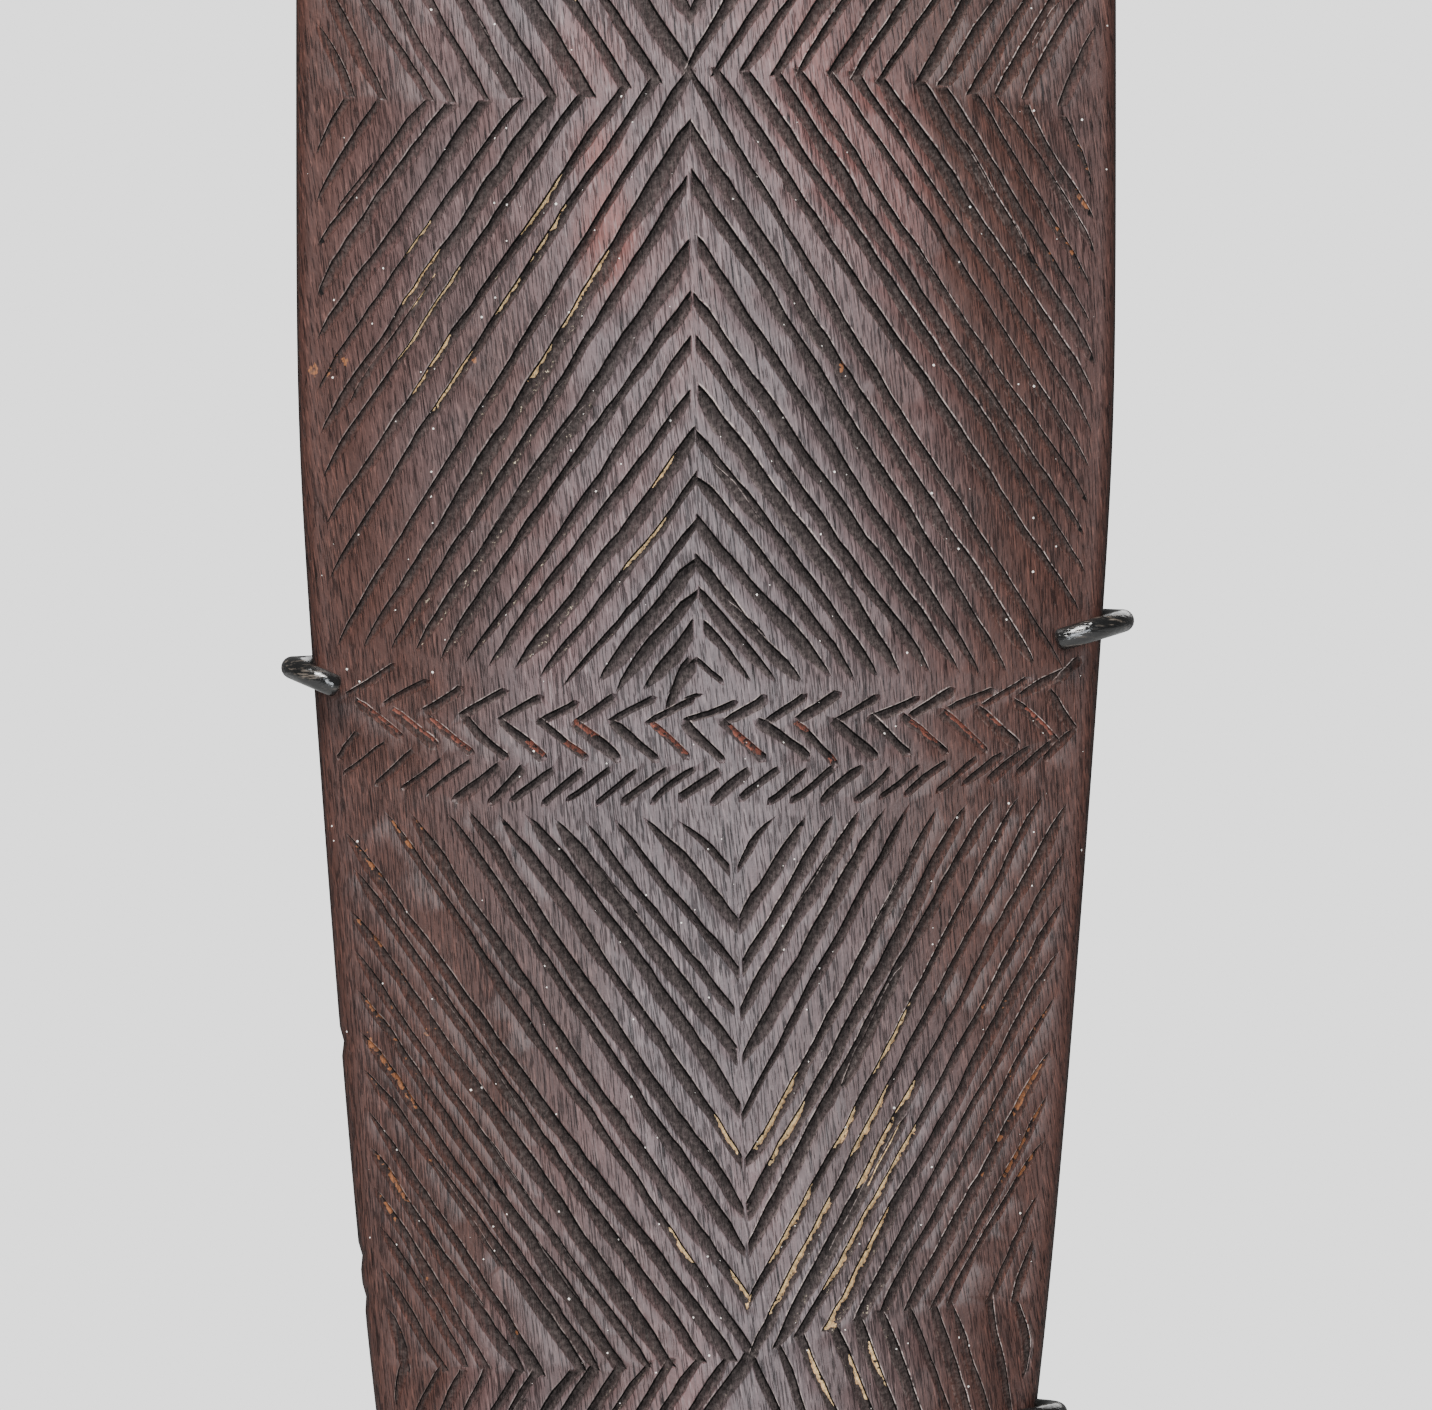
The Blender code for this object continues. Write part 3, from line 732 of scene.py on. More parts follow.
def carve(points, grooves):
    """What the knife and the pigments left at each point, with the painted shade in the cuts and the
    painted highlights and glints on their rims; the points are an array whose rows are across and along.

    The gap to the steep rim is in millimetres, and the side is the lane of the nearest cut.
    """
    size = len(points)
    names = ("depth", "cut", "dirt_and_shade", "rim", "grains_and_glints", "cream", "ochre", "orange", "gap", "side")
    found = {name: np.zeros(size) for name in names}
    nearest = np.full(size, FARTHEST_LANE)
    orange_here = patch_strength(ORANGE_CUTS, points[:, 0], points[:, 1])
    grains_and_glints_here = patch_strength(GRAIN_AND_GLINT_PATCHES, points[:, 0], points[:, 1])
    for cut in grooves:
        offset = points - np.array(cut["start"])
        aside = offset @ np.array(cut["normal"])
        skew = cut["shear"] * aside / cut["length"]
        share = (offset @ np.array(cut["unit"]) / cut["length"] - skew) / (1 - skew)
        beside = abs(aside) < SEARCH_REACH * cut["half"]
        near = np.flatnonzero((share > -1e-6) & (share < 1) & beside)
        share = share[near]
        here = {name: np.interp(share, cut["shares"], cut[name]) for name in STATION_VALUES}
        aside = aside[near] - cut["bow"] * 4 * share * (1 - share) - here["sway"]
        half = np.maximum(here["halves"], SMALLEST_HALF)
        side = aside / (half * np.where(aside > 0, here["upper"], here["lower"]))
        end = np.clip(share * cut["length"] / START_RAMP, START_DIRT_AND_SHADE, 1)
        end = end * np.clip((1 - share) * cut["length"] / END_FADE, 0, 1)
        inside = np.interp(side, (LOW_LAND, LOW_RIM, HIGH_RIM, LIP), (0.0, 1.0, 1.0, 0.0))
        # A thin light line along the rims: painted highlight, with some wear
        worn = np.interp(side, (LOW_LAND, LOW_RIM, SLOPE, HIGH_RIM, LIP, HIGH_LAND),
                         (0.0, cut["low_rim"], 0.0, 0.0, cut["high_rim"], 0.0))
        # Dirt and painted shade in the cut, less of both towards the edges
        dirt_and_shade = 1 - EDGE_LESS_DIRT_AND_SHADE * here["faint"] + GRIT_DIRT_AND_SHADE * here["grit"]
        stain = np.clip(1.3 * orange_here[near] + 0.5 * here["grit"] - 0.2, 0, 1)
        ochre = [(first, last, 1.0) for number, first, last in OCHRE_MARKS if number == cut["number"]]
        kept = {
            "depth": here["depths"] * np.interp(side, LANES, LANE_DEPTHS),
            "cut": inside * end,
            "dirt_and_shade": inside * np.clip(dirt_and_shade, LEAST_DIRT_AND_SHADE, 1.0),
            "rim": here["rim_wear_and_highlight"] * worn * end,
            # Pale grains with painted glints, strongest on the lower slope that faces up
            "grains_and_glints": grains_and_glints_here[near] * end * np.interp(side, (LOW_RIM, SLOPE, FLOOR), (0.2, 1, 0)),
            "cream": inside * along_marks(cut, cut["cream"], share),
            "ochre": inside * along_marks(cut, ochre, share),
            "orange": inside * (side > 0) * stain,
        }
        for name, values in kept.items():
            found[name][near] = np.maximum(found[name][near], values)
        closer = abs(side) < nearest[near]
        gap = MILLIMETRES * (half * here["upper"] - aside) * (1 + LINE_THINNING * here["faint"])
        found["gap"][near[closer]] = gap[closer]
        found["side"][near[closer]] = side[closer]
        nearest[near] = np.minimum(nearest[near], abs(side))
    found["side"] = np.clip(found["side"], LOW_LAND, LIP)
    return found


def land_relief(across, along):
    """The shallow hollows that the scraper left on the uncut wood."""
    height = 0.0
    for wide, tall, place, rise in LAND_WAVES:
        height += rise * noise.noise(Vector((across * wide, along * tall, place)))
    return height


# Meshes


def cut_constraints(points, edges, grooves):
    """Add every groove's lanes to the points and edges of a triangulation."""
    for cut in grooves:
        count = len(cut["shares"])
        tip = len(points)
        points.append(lane_point(cut, count - 1, 0.0))
        first = None
        for lane in LANES:
            run = [*range(len(points), len(points) + count - 1), tip]
            points += [lane_point(cut, k, lane) for k in range(count - 1)]
            edges += list(zip(run, run[1:]))
            if first is not None:
                edges.append((first, run[0]))
            first = run[0]


def grid_points(hand, step, margin, keep_off=None, clearance=0.0):
    """Points of a loose grid inside the outline, clear of the points already placed."""
    rows = int(HALF_LENGTH / step)
    columns = int(HALF_WIDTH / step)
    placed = []
    for row in range(-rows, rows + 1):
        for column in range(-columns, columns + 1):
            slips = [hand.uniform(-GRID_SLIP, GRID_SLIP) for _ in range(2)]
            point = Vector((column + slips[0], row + slips[1])) * step
            if abs(point.y) > HALF_LENGTH - 2 * margin or abs(point.x) > half_width(point.y) - margin:
                continue
            if keep_off and keep_off.find((point.x, point.y, 0.0))[2] < clearance:
                continue
            placed.append(point)
    return placed


def face_triangles(border, grooves, hand):
    """Points and triangles of the carved face."""
    points = [Vector(point) for point in border]
    edges = [(k, (k + 1) % len(border)) for k in range(len(border))]
    cut_constraints(points, edges, grooves)
    tree = KDTree(len(points))
    for k, point in enumerate(points):
        tree.insert((point.x, point.y, 0.0), k)
    tree.balance()
    points += grid_points(hand, LAND_GRID, LAND_MARGIN, tree, LANE_CLEARANCE)
    corners, _, faces, *_ = delaunay_2d_cdt(points, edges, [], 1, SMALLEST_GAP)
    return corners, faces


def back_triangles(border, hand):
    """Points and triangles of the plain back."""
    points = [Vector(point) for point in border]
    edges = [(k, (k + 1) % len(border)) for k in range(len(border))]
    points += grid_points(hand, BACK_GRID, BACK_MARGIN)
    corners, _, faces, *_ = delaunay_2d_cdt(points, edges, [], 1, SMALLEST_GAP)
    return corners, faces


def skin_points(mesh, points, levels, shift=0.0):
    """One side's points as vertices at their levels, with the land's hollows fading towards the rim."""
    made = []
    for point, level in zip(points, levels):
        inner = smooth((half_width(point.y) - abs(point.x)) / RELIEF_FADE)
        y = level + land_relief(point.x + shift, point.y) * inner
        made.append(mesh.verts.new((point.x, y, point.y + SHIELD_MIDDLE)))
    return made


def to_object(name, mesh):
    """Turn a bmesh into a linked object at the origin."""
    data = bpy.data.meshes.new(name)
    mesh.to_mesh(data)
    mesh.free()
    piece = bpy.data.objects.new(name, data)
    bpy.context.scene.collection.objects.link(piece)
    return piece


def activate(piece):
    """Make one object the only selected and the active one."""
    bpy.ops.object.select_all(action="DESELECT")
    piece.select_set(True)
    bpy.context.view_layer.objects.active = piece


def shield_shell(grooves):
    """The shield without its grip: carved face, round rim and plain back."""
    hand = random.Random(CARVING_SEED + 1)
    loops = []
    for k in range(RIM_STEPS + 1):
        turn = math.pi * k / RIM_STEPS
        y = -RIM_THICKNESS / 2 * math.cos(turn)
        loops.append((outline_loop(RIM_INSET * (1 - math.sin(turn))), y))
    mesh = bmesh.new()
    points, faces = face_triangles(loops[0][0], grooves, hand)
    depths = carve(np.array(points), grooves)["depth"]
    levels = [face_y(point.x, point.y) + depth for point, depth in zip(points, depths)]
    front = skin_points(mesh, points, levels)
    for face in faces:
        mesh.faces.new([front[k] for k in face])
    points, faces = back_triangles(loops[-1][0], hand)
    levels = [back_y(point.x, point.y) for point in points]
    back = skin_points(mesh, points, levels, shift=1)
    for face in faces:
        mesh.faces.new([back[k] for k in reversed(face)])
    count = 2 * OUTLINE_STEPS
    rings = [front[:count]]
    for loop, y in loops[1:-1]:
        rings.append([mesh.verts.new((point.x, y, point.y + SHIELD_MIDDLE)) for point in loop])
    rings.append(back[:count])
    for near, far in zip(rings, rings[1:]):
        for k in range(count):
            after = (k + 1) % count
            mesh.faces.new((near[after], near[k], far[k], far[after]))
    return to_object("carved_shield", mesh)


def grip_block():
    """The bar of the grip with its two spreading feet, sunk into the back."""
    half = GRIP_LENGTH / 2 + GRIP_RAMP
    low = (RIM_THICKNESS - GRIP_THICKNESS) / 2
    high = RIM_THICKNESS / 2 + BACK_RISE + FINGER_GAP + GRIP_THICKNESS / 2
    stations = []
    for k in range(GRIP_STEPS + 1):
        along = half * (2 * k / GRIP_STEPS - 1)
        lift = smooth((half - abs(along)) / GRIP_RAMP)
        width = GRIP_FOOT_WIDTH + (GRIP_WIDTH - GRIP_FOOT_WIDTH) * math.sqrt(lift)
        stations.append((Vector((0.0, low + (high - low) * lift, along + SHIELD_MIDDLE)), width))
    mesh = bmesh.new()
    rings = []
    for k, (centre, width) in enumerate(stations):
        ahead = stations[min(k + 1, GRIP_STEPS)][0]
        behind = stations[max(k - 1, 0)][0]
        outward = (ahead - behind).normalized().cross(Vector((1.0, 0.0, 0.0)))
        ring = []
        for side in range(GRIP_SIDES):
            turn = 2 * math.pi * side / GRIP_SIDES
            across = Vector((math.cos(turn) * width / 2, 0.0, 0.0))
            ring.append(mesh.verts.new(centre + across + outward * math.sin(turn) * GRIP_THICKNESS / 2))
        rings.append(ring)
    for near, far in zip(rings, rings[1:]):
        for side in range(GRIP_SIDES):
            after = (side + 1) % GRIP_SIDES
            mesh.faces.new((near[side], near[after], far[after], far[side]))
    mesh.faces.new(reversed(rings[0]))
    mesh.faces.new(rings[-1])
    bmesh.ops.recalc_face_normals(mesh, faces=mesh.faces)
    return to_object("grip_block", mesh)


def join_grip(shield, grip):
    """Unite the grip with the shield as one carved block."""
    activate(shield)
    union = shield.modifiers.new("grip", "BOOLEAN")
    union.operation = "UNION"
    union.solver = "EXACT"
    union.object = grip
    bpy.ops.object.modifier_apply(modifier=union.name)
    bpy.data.objects.remove(grip, do_unlink=True)


def mark_surface(shield, grooves):
    """Store the carving's dirt and painted shade, the painted rim highlights, the pigments, the painted
    shade of the side wall and the wood's patches as attributes of the mesh's points.
    """
    data = shield.data
    flat = np.zeros(len(data.vertices) * 3)
    data.vertices.foreach_get("co", flat)
    places = flat.reshape(-1, 3)
    across, along = places[:, 0], places[:, 2] - SHIELD_MIDDLE
    front = places[:, 1] < FACE_LIMIT
    found = carve(np.column_stack((across, along)), grooves)
    found.pop("depth")
    for name, values in found.items():
        found[name] = np.where(front, values, 0.0)
    red, paler, darker, spots = [
        patch_strength(patches, across, along) * front
        for patches in (RED_PATCHES, PALER_PATCHES, DARKER_PATCHES, ORANGE_SPOTS)
    ]
    # Brown towards the edges: partly the wood's tone, partly painted shade of the faces that slope away
    wide = np.array([max(half_width(height), RIM_INSET) for height in along])
    outward = abs(across) / wide + BROWN_CLOUD * field(places, BROWN_CLOUDS, 3)
    browned = np.clip((outward - BROWN_START) / BROWN_REACH, 0, 1)
    off_middle = abs(places[:, 1]) * 2 / RIM_THICKNESS
    grown = {
        "red": np.clip(RED_CLOUD * field(places, RED_CLOUDS, 3) + red, 0, 1),
        "brown": np.clip(browned * (1 - paler) + darker, 0, 1),
        "orange": np.maximum(found["orange"], spots),
        # Painted shade on the side wall, where the rim turns away from the face
        "wall": np.clip((SIDE_SHADE_START - off_middle) / SIDE_SHADE_REACH, 0, 1),
        "crowd": 0.5 + 0.5 * field(places, PORE_CLOUDS, 2),
        "bend": GRAIN_LEAN * places[:, 2] + GRAIN_BEND * field(places, BEND_CLOUDS, 1),
    }
    for name, values in {**found, **grown}.items():
        attribute = data.attributes.new(name, "FLOAT", "POINT")
        attribute.data.foreach_set("value", values.astype(np.float32))


def field(places, scale, octaves):
    """Smooth noise between -1 and 1 at each point."""
    values = []
    for x, y, z in places:
        values.append(noise.fractal((x * scale[0], y * scale[1], z * scale[2]), 1.0, 2.0, octaves))
    return np.array(values)


# Shader helpers


def add_node(tree, kind, settings=None, **inputs):
    """Add a node, set its properties, and set or link its inputs by name."""
    made = tree.nodes.new(kind)
    for name, value in (settings or {}).items():
        setattr(made, name, value)
    for name, value in inputs.items():
        feed(tree, made.inputs[name.replace("_", " ")], value)
    return made


def feed(tree, socket, value):
    """Link an output to a socket, or set the socket's own value."""
    if isinstance(value, bpy.types.NodeSocket):
        tree.links.new(value, socket)
    elif hasattr(value, "__len__") and len(value) == 3 and socket.type == "RGBA":
        socket.default_value = (*value, 1.0)
    else:
        socket.default_value = value


def blend_color(tree, factor, first, second, mode="MIX"):
    """Mix two colours by a factor."""
    made = tree.nodes.new("ShaderNodeMix")
    made.data_type = "RGBA"
    made.blend_type = mode
    for index, value in ((0, factor), (6, first), (7, second)):
        feed(tree, made.inputs[index], value)
    return made.outputs[2]


def calculate(tree, operation, first, second=0.0, third=0.0, clamp=False):
    """One arithmetic step."""
    made = tree.nodes.new("ShaderNodeMath")
    made.operation = operation
    made.use_clamp = clamp
    for index, value in enumerate((first, second, third)):
        feed(tree, made.inputs[index], value)
    return made.outputs[0]


def product(tree, first, *others):
    """Several values multiplied."""
    for value in others:
        first = calculate(tree, "MULTIPLY", first, value)
    return first


def ramp(tree, value, low, high, to_low=0.0, to_high=1.0):
    """Ease a value from one range to another."""
    made = tree.nodes.new("ShaderNodeMapRange")
    made.interpolation_type = "SMOOTHSTEP"
    for index, number in enumerate((value, low, high, to_low, to_high)):
        feed(tree, made.inputs[index], number)
    return made.outputs[0]


def noise_value(tree, vector, scale, detail=2.0, roughness=0.5):
    """Grey noise at a scale per metre."""
    inputs = {"Vector": vector, "Scale": scale, "Detail": detail, "Roughness": roughness}
    return add_node(tree, "ShaderNodeTexNoise", **inputs).outputs["Fac"]


def stretched_noise(tree, vector, scale, location=(0.0, 0.0, 0.0), detail=1.0, roughness=0.6):
    """Grey noise with its own scale per metre along each axis."""
    mapped = add_node(tree, "ShaderNodeMapping", Vector=vector, Scale=scale, Location=location)
    return noise_value(tree, mapped.outputs["Vector"], 1.0, detail, roughness)


def attribute_value(tree, name):
    """A stored number of the surface."""
    return add_node(tree, "ShaderNodeAttribute", {"attribute_name": name}).outputs["Fac"]


def new_material(name):
    """An empty material with its Principled shader."""
    material = bpy.data.materials.new(name)
    material.use_nodes = True
    tree = material.node_tree
    return material, tree, tree.nodes["Principled BSDF"]


def new_group(name, inputs, outputs):
    """A node group with named sockets, and its two end nodes."""
    group = bpy.data.node_groups.new(name, "ShaderNodeTree")
    for label, kind in inputs:
        group.interface.new_socket(label, in_out="INPUT", socket_type=kind)
    for label, kind in outputs:
        group.interface.new_socket(label, in_out="OUTPUT", socket_type=kind)
    return group, group.nodes.new("NodeGroupInput"), group.nodes.new("NodeGroupOutput")


def use_group(tree, group, **inputs):
    """Place a group in a material."""
    made = tree.nodes.new("ShaderNodeGroup")
    made.node_tree = group
    for name, value in inputs.items():
        feed(tree, made.inputs[name.replace("_", " ")], value)
    return made


def long_grain():
    """Hardwood grain along Z: dark pores, pale fibres and fine lines."""
    if "long_grain" in bpy.data.node_groups:
        return bpy.data.node_groups["long_grain"]
    tree, start, end = new_group(
        "long_grain",
        (("Vector", "NodeSocketVector"), ("Bend", "NodeSocketFloat"), ("Crowd", "NodeSocketFloat")),
        (("Pores", "NodeSocketFloat"), ("Fibres", "NodeSocketFloat"), ("Lines", "NodeSocketFloat")),
    )
    axes = add_node(tree, "ShaderNodeSeparateXYZ", Vector=start.outputs["Vector"])
    depth, height = axes.outputs["Y"], axes.outputs["Z"]
    across = calculate(tree, "ADD", axes.outputs["X"], start.outputs["Bend"])
    leaning = calculate(tree, "MULTIPLY_ADD", height, FIBRE_LEAN, across)
    bent, oblique = [
        add_node(tree, "ShaderNodeCombineXYZ", X=sideways, Y=depth, Z=height).outputs[0]
        for sideways in (across, leaning)
    ]
    pores = stretched_noise(tree, bent, PORE_SCALE)
    limit = ramp(tree, start.outputs["Crowd"], 0.25, 0.75, 0.41, 0.48)
    sharp = calculate(tree, "MULTIPLY", calculate(tree, "SUBTRACT", limit, pores), 16.0, clamp=True)
    fibres = stretched_noise(tree, oblique, FIBRE_SCALE, (9, 3, 1))
    lines = stretched_noise(tree, bent, LINE_SCALE, (2, 8, 6), 2.0, 0.75)
    tree.links.new(sharp, end.inputs["Pores"])
    tree.links.new(ramp(tree, fibres, 0.56, 0.68), end.inputs["Fibres"])
    tree.links.new(lines, end.inputs["Lines"])
    return tree


def specks():
    """Sparse pale specks of dust and pigment."""
    if "specks" in bpy.data.node_groups:
        return bpy.data.node_groups["specks"]
    tree, start, end = new_group(
        "specks",
        (("Vector", "NodeSocketVector"), ("Scale", "NodeSocketFloat"), ("Share", "NodeSocketFloat"),
         ("Radius", "NodeSocketFloat")),
        (("Mask", "NodeSocketFloat"),),
    )
    place, scale = start.outputs["Vector"], start.outputs["Scale"]
    cells = add_node(tree, "ShaderNodeTexVoronoi", Vector=place, Scale=scale)
    chance = add_node(tree, "ShaderNodeSeparateColor", Color=cells.outputs["Color"])
    size = product(tree, start.outputs["Radius"], calculate(tree, "ADD", chance.outputs["Green"], 0.3))
    chosen = calculate(tree, "LESS_THAN", chance.outputs["Red"], start.outputs["Share"])
    dot = calculate(tree, "LESS_THAN", cells.outputs["Distance"], size)
    tree.links.new(product(tree, chosen, dot), end.inputs["Mask"])
    return tree


def object_place(tree):
    """Object coordinates."""
    return add_node(tree, "ShaderNodeTexCoord").outputs["Object"]


def bump(tree, height, distance, strength=1.0):
    """Bump from a height; distance is in metres."""
    made = add_node(tree, "ShaderNodeBump", Height=height, Distance=distance, Strength=strength)
    return made.outputs["Normal"]


def face_masks(tree, place):
    """The surface's stored numbers and the noises that the wood's colours use, by name."""
    names = ("red", "brown", "crowd", "bend", "cut", "dirt_and_shade", "side", "gap", "rim", "grains_and_glints", "cream",
             "ochre", "orange", "wall")
    masks = {name: attribute_value(tree, name) for name in names}
    grain = use_group(tree, long_grain(), Vector=place, Bend=masks["bend"], Crowd=masks["crowd"])
    masks["fibres"], masks["lines"] = grain.outputs["Fibres"], grain.outputs["Lines"]
    cracks = ramp(tree, masks["lines"], 0.31, 0.36, 1.0, 0.0)
    masks["pores"] = calculate(tree, "MAXIMUM", product(tree, grain.outputs["Pores"], 0.76), cracks)
    masks["mottle"] = noise_value(tree, place, MOTTLE_SCALE, 1.0, 0.65)
    masks["ragged"] = calculate(tree, "SUBTRACT", masks["mottle"], 0.5)
    masks["flakes"] = calculate(tree, "SUBTRACT", noise_value(tree, place, FLAKE_SCALE, 2.0, 0.7), 0.5)
    ragged_cut = calculate(tree, "MULTIPLY_ADD", masks["ragged"], 0.4, masks["cut"])
    masks["in_cut"] = ramp(tree, ragged_cut, 0.30, 0.65)
    return masks


def wood_color(tree, look, masks):
    """Grey-violet and red patches, brown towards the edges, with fibres, fine lines and pores; the
    grey-violet middle is partly painted sheen and the darker brown edges partly painted shade.
    """
    brown = masks["brown"]
    wood = blend_color(tree, masks["red"], look.middle_color, look.red_color)
    wood = blend_color(tree, brown, wood, look.edge_color)
    fibre = blend_color(tree, brown, look.fibre_color, look.red_fibre_color)
    wood = blend_color(tree, product(tree, masks["fibres"], 0.36), wood, fibre)
    darkest = calculate(tree, "MULTIPLY_ADD", brown, 0.12, 0.54)
    palest = calculate(tree, "MULTIPLY_ADD", brown, -0.12, 1.48)
    shade = ramp(tree, masks["lines"], 0.25, 0.75, darkest, palest)
    wood = blend_color(tree, 1.0, wood, shade, "MULTIPLY")
    return blend_color(tree, product(tree, masks["pores"], 0.85), wood, look.pore_color)


def cut_dirt_and_shade_color(tree, look, masks, color):
    """Over the wood, a grainy floor of dirt and painted shade, lighter towards the gentle side, and a near
    black painted shadow under the steep wall.
    """
    # The floor's dark fill is dirt and painted shade, the shade darkest towards the steep wall
    gentle = calculate(tree, "MULTIPLY_ADD", masks["dirt_and_shade"], 3.4, -2.60, clamp=True)
    shade_towards_wall = ramp(tree, masks["side"], -1.05, 0.4, gentle, 1.0)
    dirt_and_shade_share = product(tree, masks["in_cut"], shade_towards_wall, masks["dirt_and_shade"], 0.90)
    floor = blend_color(tree, ramp(tree, masks["mottle"], 0.40, 0.68), look.cut_dirt_and_shade_color, look.cut_grit_color)
    color = blend_color(tree, dirt_and_shade_share, color, floor)
    # A near black line under the steep wall: painted shadow
    ragged_gap = calculate(tree, "MULTIPLY_ADD", masks["ragged"], 0.30, masks["gap"])
    line = product(tree, ramp(tree, ragged_gap, 0.22, 0.42, 1.0, 0.0), ramp(tree, masks["cut"], 0.35, 0.75))
    return blend_color(tree, line, color, look.shadow_color)


def pigment_color(tree, look, masks, color):
    """Over the cuts, flaked and rubbed remains of orange, red and cream."""
    flakes, gap = masks["flakes"], masks["gap"]
    flaked_gap = calculate(tree, "MULTIPLY_ADD", flakes, 2.2, gap)
    deep = ramp(tree, masks["cut"], 0.35, 0.70)
    reach = calculate(tree, "MULTIPLY_ADD", masks["cream"], -0.98, flaked_gap)
    strip = product(tree, ramp(tree, gap, 0.20, 0.32), ramp(tree, reach, -0.05, 0.05, 1.0, 0.0))
    cream = product(tree, ramp(tree, masks["cream"], 0.0, 0.5), strip, deep)
    ochre = product(tree, masks["ochre"], ramp(tree, flaked_gap, 1.05, 1.30, 1.0, 0.0), deep)
    thin = ramp(tree, calculate(tree, "MULTIPLY_ADD", flakes, 1.5, gap), 0.35, 0.95)
    cream_tint = blend_color(tree, thin, look.cream_color, look.cream_shade_color)
    uneven = calculate(tree, "MULTIPLY_ADD", masks["ragged"], 0.7, -0.36)
    broken = calculate(tree, "MULTIPLY_ADD", flakes, 1.5, uneven)
    # Each pigment's mask and tint, how much is left, and how much of the dirt shows through
    remains = (
        (masks["orange"], look.orange_color, 1.0, 0.6),
        (ochre, look.ochre_color, 1.05, 0.8),
        (cream, cream_tint, 1.12, 0.45),
    )
    for mask, tint, strength, worn in remains:
        kept = ramp(tree, calculate(tree, "MULTIPLY_ADD", mask, strength, broken), 0.42, 0.52)
        rubbed = ramp(tree, masks["mottle"], 0.35, 0.58, worn, 0.0)
        color = blend_color(tree, kept, color, blend_color(tree, rubbed, tint, look.cut_grit_color))
    return color


def weathered_color(tree, look, masks, place, color):
    """Over all of it, worn rims with a painted highlight line, pale grains with painted glints, white
    specks and painted shade on the side wall.
    """
    # Light line on the rims: painted highlight, with some wear
    rim = product(tree, masks["rim"], ramp(tree, masks["mottle"], 0.35, 0.6))
    color = blend_color(tree, calculate(tree, "MULTIPLY", rim, 1.3, clamp=True), color, look.rim_wear_and_highlight_color)
    # Pale grains along the rims, partly painted glints
    grains_and_glints = ramp(tree, noise_value(tree, place, PALE_GRAIN_AND_GLINT_SCALE, 2.0, 0.7), 0.58, 0.64)
    clumps = ramp(tree, masks["flakes"], 0.02, 0.10)
    grains_and_glints = product(tree, grains_and_glints, clumps, ramp(tree, masks["grains_and_glints"], 0.20, 0.60), 0.75)
    color = blend_color(tree, grains_and_glints, color, look.grain_and_glint_color)
    white = use_group(tree, specks(), Vector=place, Scale=SPECK_SCALE, Share=0.28, Radius=0.080)
    color = blend_color(tree, white.outputs["Mask"], color, look.speck_color)
    # Painted shade on the side wall, near black
    return blend_color(tree, product(tree, masks["wall"], 0.85), color, look.shadow_color)


def face_material(look):
    """Aged hardwood with dirt, painted shade and old pigment in its cuts, and painted highlights on their
    rims.
    """
    material, tree, shader = new_material("carved_hardwood")
    place = object_place(tree)
    masks = face_masks(tree, place)
    color = wood_color(tree, look, masks)
    color = cut_dirt_and_shade_color(tree, look, masks, color)
    color = pigment_color(tree, look, masks, color)
    color = weathered_color(tree, look, masks, place, color)
    tree.links.new(color, shader.inputs["Base Color"])
    in_cut, pores = masks["in_cut"], masks["pores"]
    land_gloss = ramp(tree, masks["lines"], 0.25, 0.75, 0.40, 0.56)
    tree.links.new(calculate(tree, "MULTIPLY_ADD", in_cut, 0.40, land_gloss), shader.inputs["Roughness"])
    shader.inputs["Specular IOR Level"].default_value = 0.22
    bare = calculate(tree, "MAXIMUM", in_cut, calculate(tree, "MAXIMUM", pores, masks["wall"]))
    polish = product(tree, calculate(tree, "SUBTRACT", 1.0, bare), 0.45)
    tree.links.new(polish, shader.inputs["Coat Weight"])
    shader.inputs["Coat Roughness"].default_value = 0.45
    grit = product(tree, masks["mottle"], ramp(tree, in_cut, 0.1, 0.8, 0.6, 2.6))
    height = calculate(tree, "SUBTRACT", grit, pores)
    tree.links.new(bump(tree, height, 0.00018), shader.inputs["Normal"])
    return material


def rod_material(look):
    """Gloss black coated rod with scuffs and painted reflection streaks along it."""
    material, tree, shader = new_material("black_rod")
    place = object_place(tree)
    scuff_and_reflection = stretched_noise(tree, place, SCUFF_AND_REFLECTION_SCALE, detail=3.0, roughness=0.65)
    # Pale streaks along the rod: scuffs, and painted reflections
    color = blend_color(tree, ramp(tree, scuff_and_reflection, 0.54, 0.70), look.rod_color, look.scuff_and_reflection_color)
    tree.links.new(color, shader.inputs["Base Color"])
    tree.links.new(ramp(tree, scuff_and_reflection, 0.40, 0.70, 0.12, 0.34), shader.inputs["Roughness"])
    lumps = calculate(tree, "MULTIPLY_ADD", scuff_and_reflection, 0.5, noise_value(tree, place, LUMP_SCALE))
    tree.links.new(bump(tree, lumps, 0.0006, 0.6), shader.inputs["Normal"])
    shader.inputs["Specular IOR Level"].default_value = 0.50
    shader.inputs["Coat Weight"].default_value = 0.4
    shader.inputs["Coat Roughness"].default_value = 0.06
    return material


